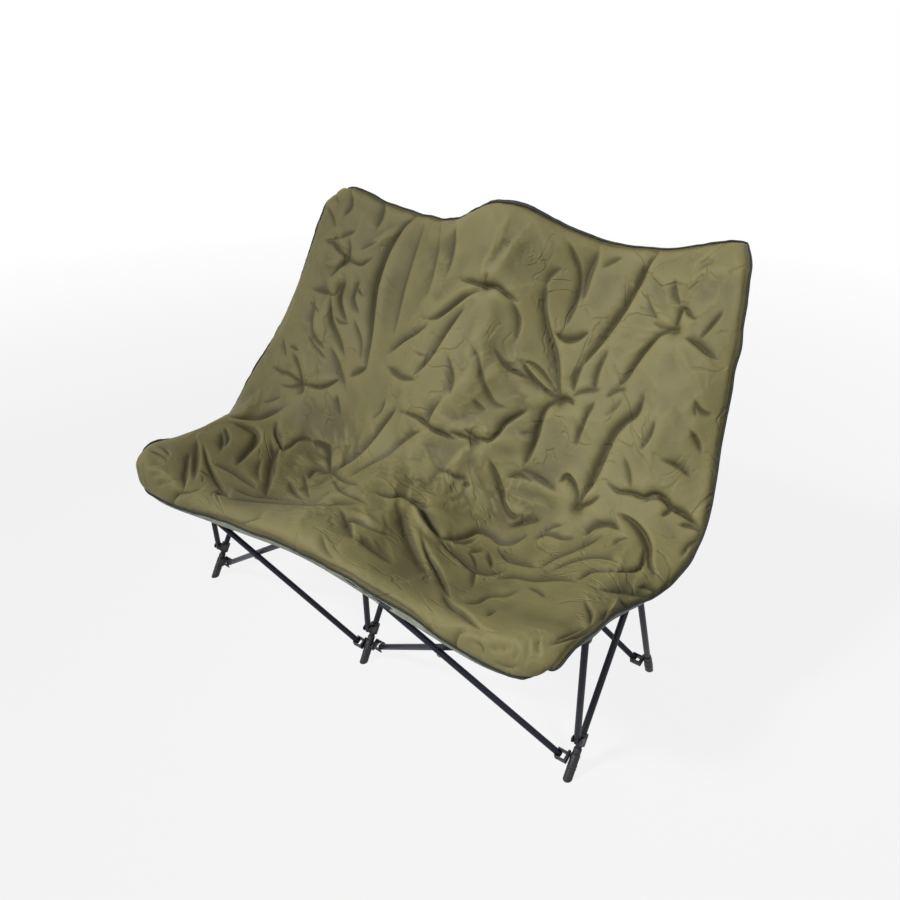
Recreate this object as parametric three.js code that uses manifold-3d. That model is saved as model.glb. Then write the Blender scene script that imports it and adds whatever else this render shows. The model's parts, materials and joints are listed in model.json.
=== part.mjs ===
// Folding camping loveseat: three folding side frames joined by front and rear crossed tubes,
// with one padded back and one padded seat hung over them.
// Millimetres. X runs across the seat, +Y to the back, +Z up. The origin is on the floor
// under the middle front foot.
import * as THREE from "three";
import { mergeVertices } from "three/addons/utils/BufferGeometryUtils.js";
import Module from "manifold-3d";

const wasm = await Module();
wasm.setup();

// Driving dimensions
const bayWidth = 527; // from one frame to the next
const tubeR = 6.5;
const tubeWall = 1;
const gap = 0.3; // clearance of seated pieces
const slack = 0.5; // clearance of sliding pieces
const poleLength = 1005;
const poleLeanSide = 32.2; // degrees from the vertical
const poleLeanMiddle = 29.3;
const poleBendStart = 720; // along the pole, above the highest sleeve position
const poleBendInward = 45; // how far a side pole's top stands inward
const poleInset = 14; // where a tube starts above its foot
const bootLength = 62;
const bootR = 9;
const lowJoint = [21.5, 36]; // Y and Z of the front crossed tubes' low joints
const tipHub = [-115, 386]; // Y and Z of the front hubs
const rearFootY = 366;
const legPivot = [232, 312]; // Y and Z of the rear legs' pivots
const sleeveWall = 3.6;
const sleeveLength = 24;
const pivotReach = 30; // from a pole's axis to the rail's pivot, in front of it
const sliderReach = 22; // from a pole's axis to the post's pivot
const sliderRise = 19; // from the top of the front boot to the slider's pivot, along the pole
const sliderAlong = bootLength + sliderRise;
const postTopY = 14; // where the post meets the rail
const railHeight = tipHub[1];
const rearTopY = 258; // Y of the rear crossed tubes' top joints
const crossOffset = 30; // from a frame's plane to the crossed tubes' end pivots
// each crossed tube lies this far from their common plane; the ones that fall to the right lie in front
const crossLayer = 7.2;
const crossTopShort = 10; // the open top ends stop short of their hubs
const tubeOverrun = 4; // a crossed tube's end past its low pivot
const pivotOverrun = 6; // a rail's, post's or leg's end past its pivot
const pinR = 2.5;
const pinHoleR = 2.9;
const stubR = 3;
const rivetHeadR = 5;
const rivetHeadT = 1.8;
const cheekR = 7.5;
const cheekInner = tubeR + slack;
const cheekT = 3;
const knuckleStart = cheekInner + cheekT + slack;
const knuckleWall = 5;
const knuckleCheek = 3;
const knuckleHalf = 7.5;
const hubR = 11;
const hubHalf = 16;
const hubSocket = 40; // length of rail inside the hub's socket
const forkDepth = 38; // from the rail's axis down to the fork's solid part
const forkRootLength = 10;
const forkDrop = 4; // the fork's rounding stands this far below the rail's axis
const pocketLength = 60;
const pocketWall = 5.4; // padded cloth
const tubeSides = 12;
const pinSides = 8;
const plateSteps = 4;
const bendShares = [0, 0.25, 0.5, 0.75, 1]; // of the bent part of a side pole
const weldTolerance = 1e-4;

// The cover
const coverTop = 13; // thickness above the middle surface, before the crown
const coverBelow = 9;
const coverEdge = 4; // half thickness at the sewn edges
const edgeShare = 0.05; // share of the width or length that is drawn in at an edge
const seamGap = 0.4; // between the back and the seat
const tuftDepth = 9;
const tuftR = 62;
const coverColumnShares = [0, 0.09, 0.18, 0.27, 0.36, 0.46, 0.56, 0.66, 0.76, 0.85, 0.92, 0.97, 1];
const backRows = 20;
const seatRows = 21;
const creaseStation = 7;
// The cover's middle surface, from its top edge over the crease to its front edge:
// each row holds Y and Z at the middle, Y and Z half-way along a bay, then X, Y and Z
// over a side frame and X, Y and Z at the side edge. Each X is counted from the side frame.
const stations = [
  [510, 934, 545, 874, -47, 556, 908, -22, 568, 896],
  [470, 892, 523, 840, -35, 516, 868, 13, 512, 862],
  [425, 810, 476, 765, -24, 470, 792, 33, 468, 775],
  [369, 710, 424, 685, -17, 412, 700, 41, 425, 690],
  [308, 602, 374, 610, -14, 349, 600, 51, 385, 612],
  [262, 520, 325, 537, -12, 298, 520, 63, 345, 552],
  [226, 455, 280, 468, -10, 255, 455, 79, 300, 492],
  [196, 425, 248, 408, -10, 218, 425, 85, 255, 440],
  [158, 410, 210, 362, -8, 165, 410, 81, 205, 404],
  [105, 408, 155, 338, -6, 105, 408, 61, 145, 378],
  [50, 407, 90, 332, -6, 50, 407, 47, 85, 384],
  [0, 407, 30, 338, -6, 0, 407, 39, 20, 398],
  [-55, 407, -35, 350, -6, -55, 407, 39, -45, 409],
  [-105, 411, -95, 364, -11, -104, 412, 31, -93, 408],
  [-137, 400, -130, 369, -9, -138, 401, 27, -129, 395],
  [-146, 372, -143, 356, -24, -144, 358, 8, -137, 364],
];
// Where the cloth stands out of that surface: each place is a share of the half width and of the
// run from the top to the front, with its two half widths, and each shift is in X, Y and Z.
const swellShares = [
  [-0.17, 0, 0.1, 0.12],
  [0.53, 0, 0.12, 0.1],
  [1, 0.02, 0.25, 0.06],
  [-1, 0.02, 0.25, 0.04],
  [-1, 0.17, 0.4, 0.1],
  [1, 0.33, 0.4, 0.3],
  [-1, 0.66, 0.2, 0.12],
  [-0.6, 1, 0.2, 0.03],
  [0.52, 1, 0.13, 0.04],
];
const swellShifts = [
  [0, 0, -27],
  [0, 0, -11],
  [9, 0, 9],
  [-12, 0, 2],
  [7, 0, 0],
  [6, 0, 0],
  [0, 0, -14],
  [0, 0, -24],
  [0, 0, -12],
];
// Sewn tuft points near the surface, mirrored to the other side: X as a distance inside the side
// frame, then Y and Z.
const tufts = [
  [102, 440, 755],
  [297, 420, 720],
  [487, 415, 770],
  [87, 300, 520],
  [297, 352, 610],
  [437, 270, 500],
  [197, 215, 345],
  [377, 190, 365],
  [197, 30, 350],
  [367, 20, 380],
];

const group = new THREE.Group();
const paintedTube = { color: 0x14161f, roughness: 0.38, metalness: 0.6 };
const blackPlastic = { color: 0x0c0c0e, roughness: 0.55, metalness: 0 };
const pinSteel = { color: 0x3a3c42, roughness: 0.35, metalness: 0.9 };
const oliveCloth = { color: 0x7a7450, roughness: 0.7, metalness: 0 };
const darkCloth = { color: 0x22242c, roughness: 0.85, metalness: 0 };

const rad = (degrees) => (degrees * Math.PI) / 180;
const vec = (x, y, z) => new THREE.Vector3(x, y, z);
const acrossX = vec(1, 0, 0);

function addMesh(name, geometry, look) {
  const mesh = new THREE.Mesh(geometry, new THREE.MeshStandardMaterial(look));
  mesh.name = name;
  group.add(mesh);
}

function solidOf(geometry) {
  const bare = geometry.index ? geometry.toNonIndexed() : geometry.clone();
  bare.deleteAttribute("normal");
  bare.deleteAttribute("uv");
  const merged = mergeVertices(bare, weldTolerance);
  return new wasm.Manifold(
    new wasm.Mesh({
      numProp: 3,
      vertProperties: merged.attributes.position.array,
      triVerts: new Uint32Array(merged.index.array),
    }),
  );
}

function geometryOf(solid) {
  const made = solid.getMesh();
  const geometry = new THREE.BufferGeometry();
  geometry.setAttribute("position", new THREE.BufferAttribute(made.vertProperties, 3));
  geometry.setIndex(new THREE.BufferAttribute(made.triVerts, 1));
  const flat = geometry.toNonIndexed();
  flat.computeVertexNormals();
  return flat;
}

const addSolid = (name, solid, look) => addMesh(name, geometryOf(solid), look);
const join = (solids) => solids.reduce((sum, solid) => sum.add(solid));

// A tube through a run of points, open at both ends, or a solid rod where innerR is zero.
function tubeThrough(points, outerR, innerR, sides = tubeSides) {
  const position = [];
  const index = [];
  const last = points.length - 1;
  const radii = innerR > 0 ? [outerR, innerR] : [outerR];
  const id = (layer, i, j) => (layer * points.length + i) * sides + (j % sides);
  const frames = points.map((point, i) => {
    const along = points[Math.min(i + 1, last)].clone().sub(points[Math.max(i - 1, 0)]).normalize();
    const start = Math.abs(along.x) < Math.SQRT1_2 ? acrossX : vec(0, 0, 1);
    const side = start.clone().addScaledVector(along, -along.dot(start)).normalize();
    return [point, side, along.clone().cross(side)];
  });
  radii.forEach((r) =>
    frames.forEach(([point, side, up]) => {
      for (let j = 0; j < sides; j += 1) {
        const a = (2 * Math.PI * j) / sides;
        const p = point.clone().addScaledVector(side, r * Math.cos(a));
        p.addScaledVector(up, r * Math.sin(a));
        position.push(p.x, p.y, p.z);
      }
    }),
  );
  const quad = (a, b, c, d) => index.push(a, b, c, a, c, d);
  for (let j = 0; j < sides; j += 1) {
    for (let i = 0; i < last; i += 1) {
      quad(id(0, i, j), id(0, i, j + 1), id(0, i + 1, j + 1), id(0, i + 1, j));
      if (innerR > 0) quad(id(1, i, j), id(1, i + 1, j), id(1, i + 1, j + 1), id(1, i, j + 1));
    }
    if (innerR > 0) {
      quad(id(0, 0, j), id(1, 0, j), id(1, 0, j + 1), id(0, 0, j + 1));
      quad(id(0, last, j), id(0, last, j + 1), id(1, last, j + 1), id(1, last, j));
    }
  }
  for (let j = 1; innerR === 0 && j < sides - 1; j += 1) {
    index.push(id(0, 0, 0), id(0, 0, j + 1), id(0, 0, j));
    index.push(id(0, last, 0), id(0, last, j), id(0, last, j + 1));
  }
  const geometry = new THREE.BufferGeometry();
  geometry.setAttribute("position", new THREE.Float32BufferAttribute(position, 3));
  geometry.setIndex(index);
  return geometry;
}

const rod = (from, to, r, sides) => solidOf(tubeThrough([from, to], r, 0, sides));
const pipe = (from, to, outerR, innerR) => solidOf(tubeThrough([from, to], outerR, innerR));
const crossRod = (x0, x1, [y, z], r, sides) => rod(vec(x0, y, z), vec(x1, y, z), r, sides);

// A plate with round ends round two Y and Z points, between two X positions.
function plate(p, q, r, x0, x1) {
  const turn = Math.atan2(q[1] - p[1], q[0] - p[0]);
  const shape = new THREE.Shape();
  shape.absarc(p[0], p[1], r, turn + Math.PI / 2, turn + 1.5 * Math.PI);
  shape.absarc(q[0], q[1], r, turn - Math.PI / 2, turn + Math.PI / 2);
  const geometry = new THREE.ExtrudeGeometry(shape, {
    depth: x1 - x0,
    bevelEnabled: false,
    curveSegments: plateSteps,
  });
  const turned = new THREE.Matrix4().makeBasis(vec(0, 1, 0), vec(0, 0, 1), acrossX);
  return solidOf(geometry.applyMatrix4(turned.setPosition(x0, 0, 0)));
}

const cheekPair = (x, p, q, r) =>
  plate(p, q, r, x - cheekInner - cheekT, x - cheekInner).add(
    plate(p, q, r, x + cheekInner, x + cheekInner + cheekT),
  );

// A box given by its ranges along X, along up and along out, from a point.
function block(origin, up, out, xRange, upRange, outRange) {
  const ranges = [xRange, upRange, outRange];
  const size = ranges.map(([a, b]) => b - a);
  const middle = ranges.map(([a, b]) => (a + b) / 2);
  const geometry = new THREE.BoxGeometry(...size).translate(...middle);
  const turned = new THREE.Matrix4().makeBasis(acrossX, up, out).setPosition(origin);
  return solidOf(geometry.applyMatrix4(turned));
}

// A point beside a leaning pole: along it, then forward from its axis.
const beside = (lean, along, forward = 0) => [
  along * Math.sin(lean) - forward * Math.cos(lean),
  along * Math.cos(lean) + forward * Math.sin(lean),
];
const alongOf = (lean, [y, z]) => y * Math.sin(lean) + z * Math.cos(lean);
const at = (x, [y, z]) => vec(x, y, z);

const floor = block(
  vec(0, 0, 0),
  vec(0, 1, 0),
  vec(0, 0, 1),
  [-2 * bayWidth, 2 * bayWidth],
  [-bayWidth, bayWidth],
  [-bayWidth, 0],
);

// A moulded foot round the lower end of a tube, with stub pins for the crossed tubes.
function boot(x, foot, dir, joint, stubSides) {
  const point = (d) => vec(x, foot[0] + d * dir[0], foot[1] + d * dir[1]);
  const body = rod(point(-bootLength / 2), point(bootLength), bootR);
  const bored = body.subtract(rod(point(poleInset - gap), point(2 * bootLength), tubeR + gap));
  const reach = knuckleStart + knuckleWall - slack;
  const pins = stubSides.map((side) => {
    const ends = [x + side * (bootR - (bootR - tubeR) / 2), x + side * reach];
    return crossRod(Math.min(...ends), Math.max(...ends), joint, stubR, pinSides);
  });
  return join([bored, ...pins]).subtract(floor);
}

function sleeve(x, lean, middle, length) {
  const from = at(x, beside(lean, middle - length / 2));
  const to = at(x, beside(lean, middle + length / 2));
  return pipe(from, to, tubeR + slack + sleeveWall, tubeR + slack);
}

function poleBore(x, lean) {
  return rod(at(x, beside(lean, 0)), at(x, beside(lean, poleLength)), tubeR + slack);
}

// A pole bracket with a pair of cheeks and their pin.
function bracket(x, lean, pivot) {
  const along = alongOf(lean, pivot);
  const cheeks = cheekPair(x, beside(lean, along), pivot, cheekR);
  const pinEnd = cheekInner + cheekT;
  return join([
    sleeve(x, lean, along, sleeveLength),
    cheeks.subtract(poleBore(x, lean)),
    crossRod(x - pinEnd, x + pinEnd, pivot, pinR, pinSides),
  ]);
}

const hole = (x, pivot) => crossRod(x - 2 * tubeR, x + 2 * tubeR, pivot, pinHoleR, pinSides);
const innerR = tubeR - tubeWall;
const legLean = Math.atan2(rearFootY - legPivot[0], legPivot[1]);
const legDir = [-Math.sin(legLean), Math.cos(legLean)];
const legLength = Math.hypot(rearFootY - legPivot[0], legPivot[1]);
const rearJoint = [rearFootY + legDir[0] * (lowJoint[1] / legDir[1]), lowJoint[1]];
const crossHeight = Math.hypot(tipHub[0] - lowJoint[0], tipHub[1] - lowJoint[1]);
const crossSpan = bayWidth - 2 * crossOffset;
const crossLength = Math.hypot(crossSpan, crossHeight);
const rearRise = Math.sqrt(crossHeight ** 2 - (rearTopY - rearJoint[0]) ** 2);
const rearTop = [rearTopY, rearJoint[1] + rearRise];

const frames = [
  { name: "left", side: -1, lean: rad(poleLeanSide) },
  { name: "middle", side: 0, lean: rad(poleLeanMiddle) },
  { name: "right", side: 1, lean: rad(poleLeanSide) },
];

for (const { name, side, lean } of frames) {
  const x = side * bayWidth;
  const inward = side === 0 ? [-1, 1] : [-side];
  const polePoints = [at(x, beside(lean, poleInset))];
  for (const share of bendShares) {
    const along = poleBendStart + share * (poleLength - poleBendStart);
    const shift = side * poleBendInward * share ** 1.5;
    polePoints.push(at(x - shift, beside(lean, along)));
  }
  const top = polePoints[polePoints.length - 1];
  const topDir = top.clone().sub(polePoints[polePoints.length - 2]).normalize();
  addMesh("pole_" + name, tubeThrough(polePoints, tubeR, innerR), paintedTube);
  const pocketStart = top.clone().addScaledVector(topDir, -pocketLength);
  const pocketEnd = top.clone().addScaledVector(topDir, gap + pocketWall);
  const pocketBoreEnd = top.clone().addScaledVector(topDir, gap);
  const pocketOuter = rod(pocketStart, pocketEnd, tubeR + slack + pocketWall);
  const pocketBore = rod(pocketStart.clone().sub(topDir), pocketBoreEnd, tubeR + slack);
  addSolid("pole_pocket_" + name, pocketOuter.subtract(pocketBore), darkCloth);

  const poleDir = beside(lean, 1);
  addSolid("front_foot_" + name, boot(x, [0, 0], poleDir, lowJoint, inward), blackPlastic);

  const legFoot = [rearFootY, 0];
  const legPoint = (d) => vec(x, rearFootY + legDir[0] * d, legDir[1] * d);
  const leg = pipe(legPoint(poleInset), legPoint(legLength + pivotOverrun), tubeR, innerR);
  addSolid("rear_leg_" + name, leg.subtract(hole(x, legPivot)), paintedTube);
  addSolid("rear_foot_" + name, boot(x, legFoot, legDir, rearJoint, inward), blackPlastic);
  addSolid("leg_bracket_" + name, bracket(x, lean, legPivot), blackPlastic);

  const sliderPivot = beside(lean, sliderAlong, sliderReach);
  addSolid("slider_" + name, bracket(x, lean, sliderPivot), blackPlastic);

  const railAlong = (railHeight - pivotReach * Math.sin(lean)) / Math.cos(lean);
  const railPivot = beside(lean, railAlong, pivotReach);
  addSolid("rail_bracket_" + name, bracket(x, lean, railPivot), blackPlastic);
  const railEnds = [
    vec(x, railPivot[0] + pivotOverrun, railHeight),
    vec(x, tipHub[0] + hubR + gap, railHeight),
  ];
  const rail = pipe(...railEnds, tubeR, innerR);
  addSolid("rail_" + name, rail.subtract(hole(x, railPivot)), paintedTube);
  const socketEnd = vec(x, tipHub[0] + hubSocket, railHeight);
  const hubLeft = side < 0 ? hubR : hubHalf;
  const hubRight = side > 0 ? hubR : hubHalf;
  const hub = join([
    crossRod(x - hubLeft, x + hubRight, tipHub, hubR, tubeSides),
    rod(at(x, tipHub), socketEnd, hubR),
  ]);
  const hubBore = rod(railEnds[1].clone().add(vec(0, -gap, 0)), railEnds[0], tubeR + gap);
  addSolid("tip_hub_" + name, hub.subtract(hubBore), blackPlastic);

  const postTop = [postTopY, railHeight];
  const postRun = [postTop[0] - sliderPivot[0], postTop[1] - sliderPivot[1]];
  const postLength = Math.hypot(...postRun);
  const postDir = postRun.map((v) => v / postLength);
  const onPost = (d) => [sliderPivot[0] + postDir[0] * d, sliderPivot[1] + postDir[1] * d];
  const postTube = pipe(
    at(0, onPost(-pivotOverrun)),
    at(0, onPost(postLength - forkDepth)),
    tubeR,
    innerR,
  );
  const forkEnd = onPost(postLength - forkDepth);
  const forkOuter = cheekInner + cheekT;
  const post = join([
    postTube.subtract(hole(0, sliderPivot)),
    plate(onPost(postLength - forkDepth - forkRootLength), forkEnd, cheekR, -forkOuter, forkOuter),
    cheekPair(0, forkEnd, onPost(postLength - forkDrop), cheekR),
  ]).translate([x, 0, 0]);
  addSolid("post_" + name, post, paintedTube);

  const upperAlong = alongOf(lean, rearTop);
  const arm = plate(beside(lean, upperAlong), rearTop, hubR - slack, x - tubeR, x + tubeR);
  const upper = join([
    sleeve(x, lean, upperAlong, sleeveLength),
    join([arm, crossRod(x - hubHalf, x + hubHalf, rearTop, hubR - slack, tubeSides)]).subtract(
      poleBore(x, lean),
    ),
  ]);
  addSolid("upper_sleeve_" + name, upper, blackPlastic);
}

// One bay's crossed tubes, from low joints to open top ends.
function crossedPair(label, side, joint, top) {
  const up = vec(0, top[0] - joint[0], top[1] - joint[1]).normalize();
  const out = acrossX.clone().cross(up);
  const bayName = side < 0 ? "left" : "right";
  const rise = crossHeight / crossLength;
  const run = crossSpan / crossLength;
  const clevis = crossLayer + tubeR + slack;
  const halfPin = clevis - crossLayer + knuckleCheek;
  const tubes = [
    { part: "a", frameX: 0, turn: side, layer: -side * crossLayer },
    { part: "b", frameX: side * bayWidth, turn: -side, layer: side * crossLayer },
  ];
  const rivetAt = at((side * bayWidth) / 2, [
    (joint[0] + top[0]) / 2,
    (joint[1] + top[1]) / 2,
  ]);
  for (const { part, frameX, turn, layer } of tubes) {
    const anchor = at(frameX, joint);
    const pivot = anchor.clone().addScaledVector(acrossX, turn * crossOffset);
    pivot.addScaledVector(out, layer);
    const dir = acrossX.clone().multiplyScalar(turn * run).addScaledVector(up, rise);
    const tube = pipe(
      pivot.clone().addScaledVector(dir, -tubeOverrun),
      pivot.clone().addScaledVector(dir, crossLength - crossTopShort),
      tubeR,
      innerR,
    );
    const pinFrom = pivot.clone().addScaledVector(out, -halfPin);
    const pinTo = pivot.clone().addScaledVector(out, halfPin);
    const rivetHole = rod(
      rivetAt.clone().addScaledVector(out, -2 * clevis),
      rivetAt.clone().addScaledVector(out, 2 * clevis),
      pinHoleR,
      pinSides,
    );
    const bored = tube.subtract(rod(pinFrom, pinTo, pinHoleR, pinSides)).subtract(rivetHole);
    addSolid(label + "_tube_" + part + "_" + bayName, bored, paintedTube);

    const range = (a, b) => (turn > 0 ? [a, b] : [-b, -a]);
    const reach = crossOffset + knuckleHalf - tubeOverrun / 2;
    const inner = tubeR + slack;
    const over = knuckleCheek / 2;
    const far = Math.abs(layer) + inner + over;
    const bridgeOut = layer > 0 ? [-knuckleHalf, far] : [-far, knuckleHalf];
    const bridgeX = range(knuckleStart, knuckleStart + knuckleWall);
    const cheekX = range(knuckleStart, reach);
    const tall = [-knuckleHalf, knuckleHalf];
    const knuckle = join([
      block(anchor, up, out, bridgeX, tall, bridgeOut),
      block(anchor, up, out, cheekX, tall, [layer + inner, layer + inner + knuckleCheek]),
      block(anchor, up, out, cheekX, tall, [layer - inner - knuckleCheek, layer - inner]),
      rod(pinFrom, pinTo, pinR, pinSides),
    ]);
    const stubHole = crossRod(frameX - reach, frameX + reach, joint, stubR + slack, pinSides);
    const bridgeOnly = block(anchor, up, out, bridgeX, tall, [-knuckleHalf, knuckleHalf]);
    const boredKnuckle = knuckle.subtract(stubHole.intersect(bridgeOnly));
    addSolid(label + "_knuckle_" + part + "_" + bayName, boredKnuckle, blackPlastic);
  }
  const headAt = (d) => rivetAt.clone().addScaledVector(out, d);
  const outside = crossLayer + tubeR + gap;
  const rivet = join([
    rod(headAt(-outside - rivetHeadT / 2), headAt(outside + rivetHeadT / 2), pinR, pinSides),
    rod(headAt(outside), headAt(outside + rivetHeadT), rivetHeadR, pinSides),
    rod(headAt(-outside - rivetHeadT), headAt(-outside), rivetHeadR, pinSides),
  ]);
  addSolid(label + "_rivet_" + bayName, rivet, pinSteel);
}

for (const side of [-1, 1]) {
  crossedPair("front", side, lowJoint, tipHub);
  crossedPair("rear", side, rearJoint, rearTop);
}

// The padded cover
const profile = (points) => new THREE.CatmullRomCurve3(points, false, "centripetal");
const middleLine = profile(stations.map((s) => vec(0, s[0], s[1])));
const bayLine = profile(stations.map((s) => vec(bayWidth / 2, s[2], s[3])));
const frameLine = profile(stations.map((s) => vec(bayWidth + s[4], s[5], s[6])));
const edgeLine = profile(stations.map((s) => vec(bayWidth + s[7], s[8], s[9])));
const mirrored = (p) => vec(-p.x, p.y, p.z);

// The middle surface: across runs from -1 to 1, along from 0 at the top to 1 at the front.
function coverPoint(across, along) {
  const lines = [bayLine, frameLine, edgeLine].map((line) => line.getPoint(along));
  const row = [...lines.map(mirrored).reverse(), middleLine.getPoint(along), ...lines];
  const point = profile(row).getPoint((across + 1) / 2);
  swellShares.forEach(([centre, run, halfAcross, halfRun], k) => {
    const off = ((across - centre) / halfAcross) ** 2 + ((along - run) / halfRun) ** 2;
    point.addScaledVector(vec(...swellShifts[k]), Math.exp(-off));
  });
  return point;
}

function coverNormal(across, along) {
  const step = 1e-3;
  const a = Math.max(-1, across - step);
  const b = Math.min(1, across + step);
  const c = Math.max(0, along - step);
  const d = Math.min(1, along + step);
  const wide = coverPoint(b, along).sub(coverPoint(a, along));
  const long = coverPoint(across, d).sub(coverPoint(across, c));
  return long.cross(wide).normalize();
}

const drawnIn = (toEdge) => Math.sqrt(Math.min(1, Math.max(0, toEdge) / edgeShare));

function cushion(name, from, to, rows) {
  const shares = [...coverColumnShares.slice(1).reverse().map((s) => -s), ...coverColumnShares];
  const columns = shares.length;
  const upper = [];
  const lower = [];
  for (let i = 0; i <= rows; i += 1) {
    const eased = i / rows;
    const along = from + (to - from) * eased;
    shares.forEach((across) => {
      const p = coverPoint(across, along);
      const normal = coverNormal(across, along);
      const inner = drawnIn(1 - Math.abs(across)) * drawnIn(eased) * drawnIn(1 - eased);
      let above = coverEdge + (coverTop - coverEdge) * inner;
      for (const [inside, y, z] of tufts) {
        const tuft = vec(bayWidth - inside, y, z);
        const d = Math.min(p.distanceTo(tuft), p.distanceTo(mirrored(tuft)));
        above -= tuftDepth * inner * Math.exp(-((d / (tuftR / 2)) ** 2));
      }
      const below = coverEdge + (coverBelow - coverEdge) * inner;
      upper.push(p.clone().addScaledVector(normal, above));
      lower.push(p.clone().addScaledVector(normal, -below));
    });
  }
  const position = [...upper, ...lower].flatMap((p) => [p.x, p.y, p.z]);
  const index = [];
  const quad = (a, b, c, d) => index.push(a, b, c, a, c, d);
  const id = (layer, i, j) => layer * upper.length + i * columns + j;
  for (let i = 0; i < rows; i += 1) {
    for (let j = 0; j < columns - 1; j += 1) {
      quad(id(0, i, j), id(0, i + 1, j), id(0, i + 1, j + 1), id(0, i, j + 1));
      quad(id(1, i, j), id(1, i, j + 1), id(1, i + 1, j + 1), id(1, i + 1, j));
    }
    quad(id(0, i, 0), id(1, i, 0), id(1, i + 1, 0), id(0, i + 1, 0));
    const last = columns - 1;
    quad(id(0, i, last), id(0, i + 1, last), id(1, i + 1, last), id(1, i, last));
  }
  for (let j = 0; j < columns - 1; j += 1) {
    quad(id(0, 0, j), id(0, 0, j + 1), id(1, 0, j + 1), id(1, 0, j));
    quad(id(0, rows, j), id(1, rows, j), id(1, rows, j + 1), id(0, rows, j + 1));
  }
  const geometry = new THREE.BufferGeometry();
  geometry.setAttribute("position", new THREE.Float32BufferAttribute(position, 3));
  geometry.setIndex(index);
  addMesh(name, geometry, oliveCloth);
}

const creaseShare = creaseStation / (stations.length - 1);
const coverLength = middleLine.getLength();
const seamShare = seamGap / coverLength;
cushion("back_cushion", 0, creaseShare - seamShare, backRows);
cushion("seat_cushion", creaseShare + seamShare, 1, seatRows);

export default group;
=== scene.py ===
"""Folding camping loveseat: a padded sling cover over three leaning, folding tube frames."""

import json
import math

import bmesh
import bpy
import numpy as np
from bpy.props import (
    BoolProperty,
    FloatProperty,
    FloatVectorProperty,
    IntProperty,
    PointerProperty,
)
from mathutils import Euler, Matrix, Vector

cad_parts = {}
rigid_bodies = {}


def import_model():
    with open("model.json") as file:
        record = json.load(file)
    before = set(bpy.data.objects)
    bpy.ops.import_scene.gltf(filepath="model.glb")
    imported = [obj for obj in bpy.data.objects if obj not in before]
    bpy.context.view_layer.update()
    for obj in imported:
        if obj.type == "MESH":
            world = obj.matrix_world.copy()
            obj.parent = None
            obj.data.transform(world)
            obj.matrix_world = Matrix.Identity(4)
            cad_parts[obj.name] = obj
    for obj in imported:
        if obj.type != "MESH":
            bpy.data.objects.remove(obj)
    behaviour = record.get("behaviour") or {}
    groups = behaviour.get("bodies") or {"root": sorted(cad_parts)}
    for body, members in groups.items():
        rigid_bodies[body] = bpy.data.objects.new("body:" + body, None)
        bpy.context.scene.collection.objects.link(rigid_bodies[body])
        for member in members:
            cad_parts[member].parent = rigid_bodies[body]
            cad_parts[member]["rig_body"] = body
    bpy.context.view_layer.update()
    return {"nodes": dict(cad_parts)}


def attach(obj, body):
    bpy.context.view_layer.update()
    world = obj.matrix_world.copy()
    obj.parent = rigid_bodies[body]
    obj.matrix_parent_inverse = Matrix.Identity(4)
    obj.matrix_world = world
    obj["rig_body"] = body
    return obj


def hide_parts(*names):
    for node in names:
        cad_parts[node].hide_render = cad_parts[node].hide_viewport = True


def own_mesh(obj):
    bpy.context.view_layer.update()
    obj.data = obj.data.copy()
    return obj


bl_info = {
    "name": "Camping Loveseat",
    "version": (1, 0, 0),
    "blender": (4, 5, 0),
    "location": "View3D > Sidebar > Loveseat",
    "description": "Builds a folding two-seat camping sofa with a padded sling cover",
    "category": "Object",
}

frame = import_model()

MM = 0.001
SIDES = {"left": -1, "middle": 0, "right": 1}

# The photo's camera: lens and sensor in millimetres, place in metres, and how far it looks down and
# to the left in degrees.
PHOTO_LENS = 31.56
SENSOR = 36
PHOTO_PLACE = (0.974, -0.964, 1.262)
PHOTO_DOWN = 27.95
PHOTO_LEFT = 37.10
PHOTO_TURN = (math.radians(90 - PHOTO_DOWN), 0, math.radians(PHOTO_LEFT))
PHOTO_PIXELS = 900
FURTHEST_SEEN = 50

# The light: the world's strength, then each lamp's place, target, size in metres, watts and spread
# in degrees.
WORLD_LIGHT = 0.13
LAMPS = {
    "key": ((-3.0, -5.6, 6.6), (0.46, 0.34, 0.52), 1.5, 11.5, 20),
    "fill": ((2.6, -1.6, 1.8), (0, 0.2, 0.4), 2.4, 5, 180),
    "back": ((0.2, 2.8, 2.6), (0, 0.3, 0.6), 2.0, 10, 180),
}

# The floor: half its width, its depth under the feet, its darkest and palest grey, how white the
# camera sees it near the object, and from where and how fast it turns fully white.
FLOOR_HALF_WIDTH = 12
FLOOR_DEPTH = 0.0008
FLOOR_GREYS = (0.52, 0.58)
FLOOR_WHITE = 0.86
FLOOR_FADE_START = 1.6
FLOOR_FADE_RATE = 0.35

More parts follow.
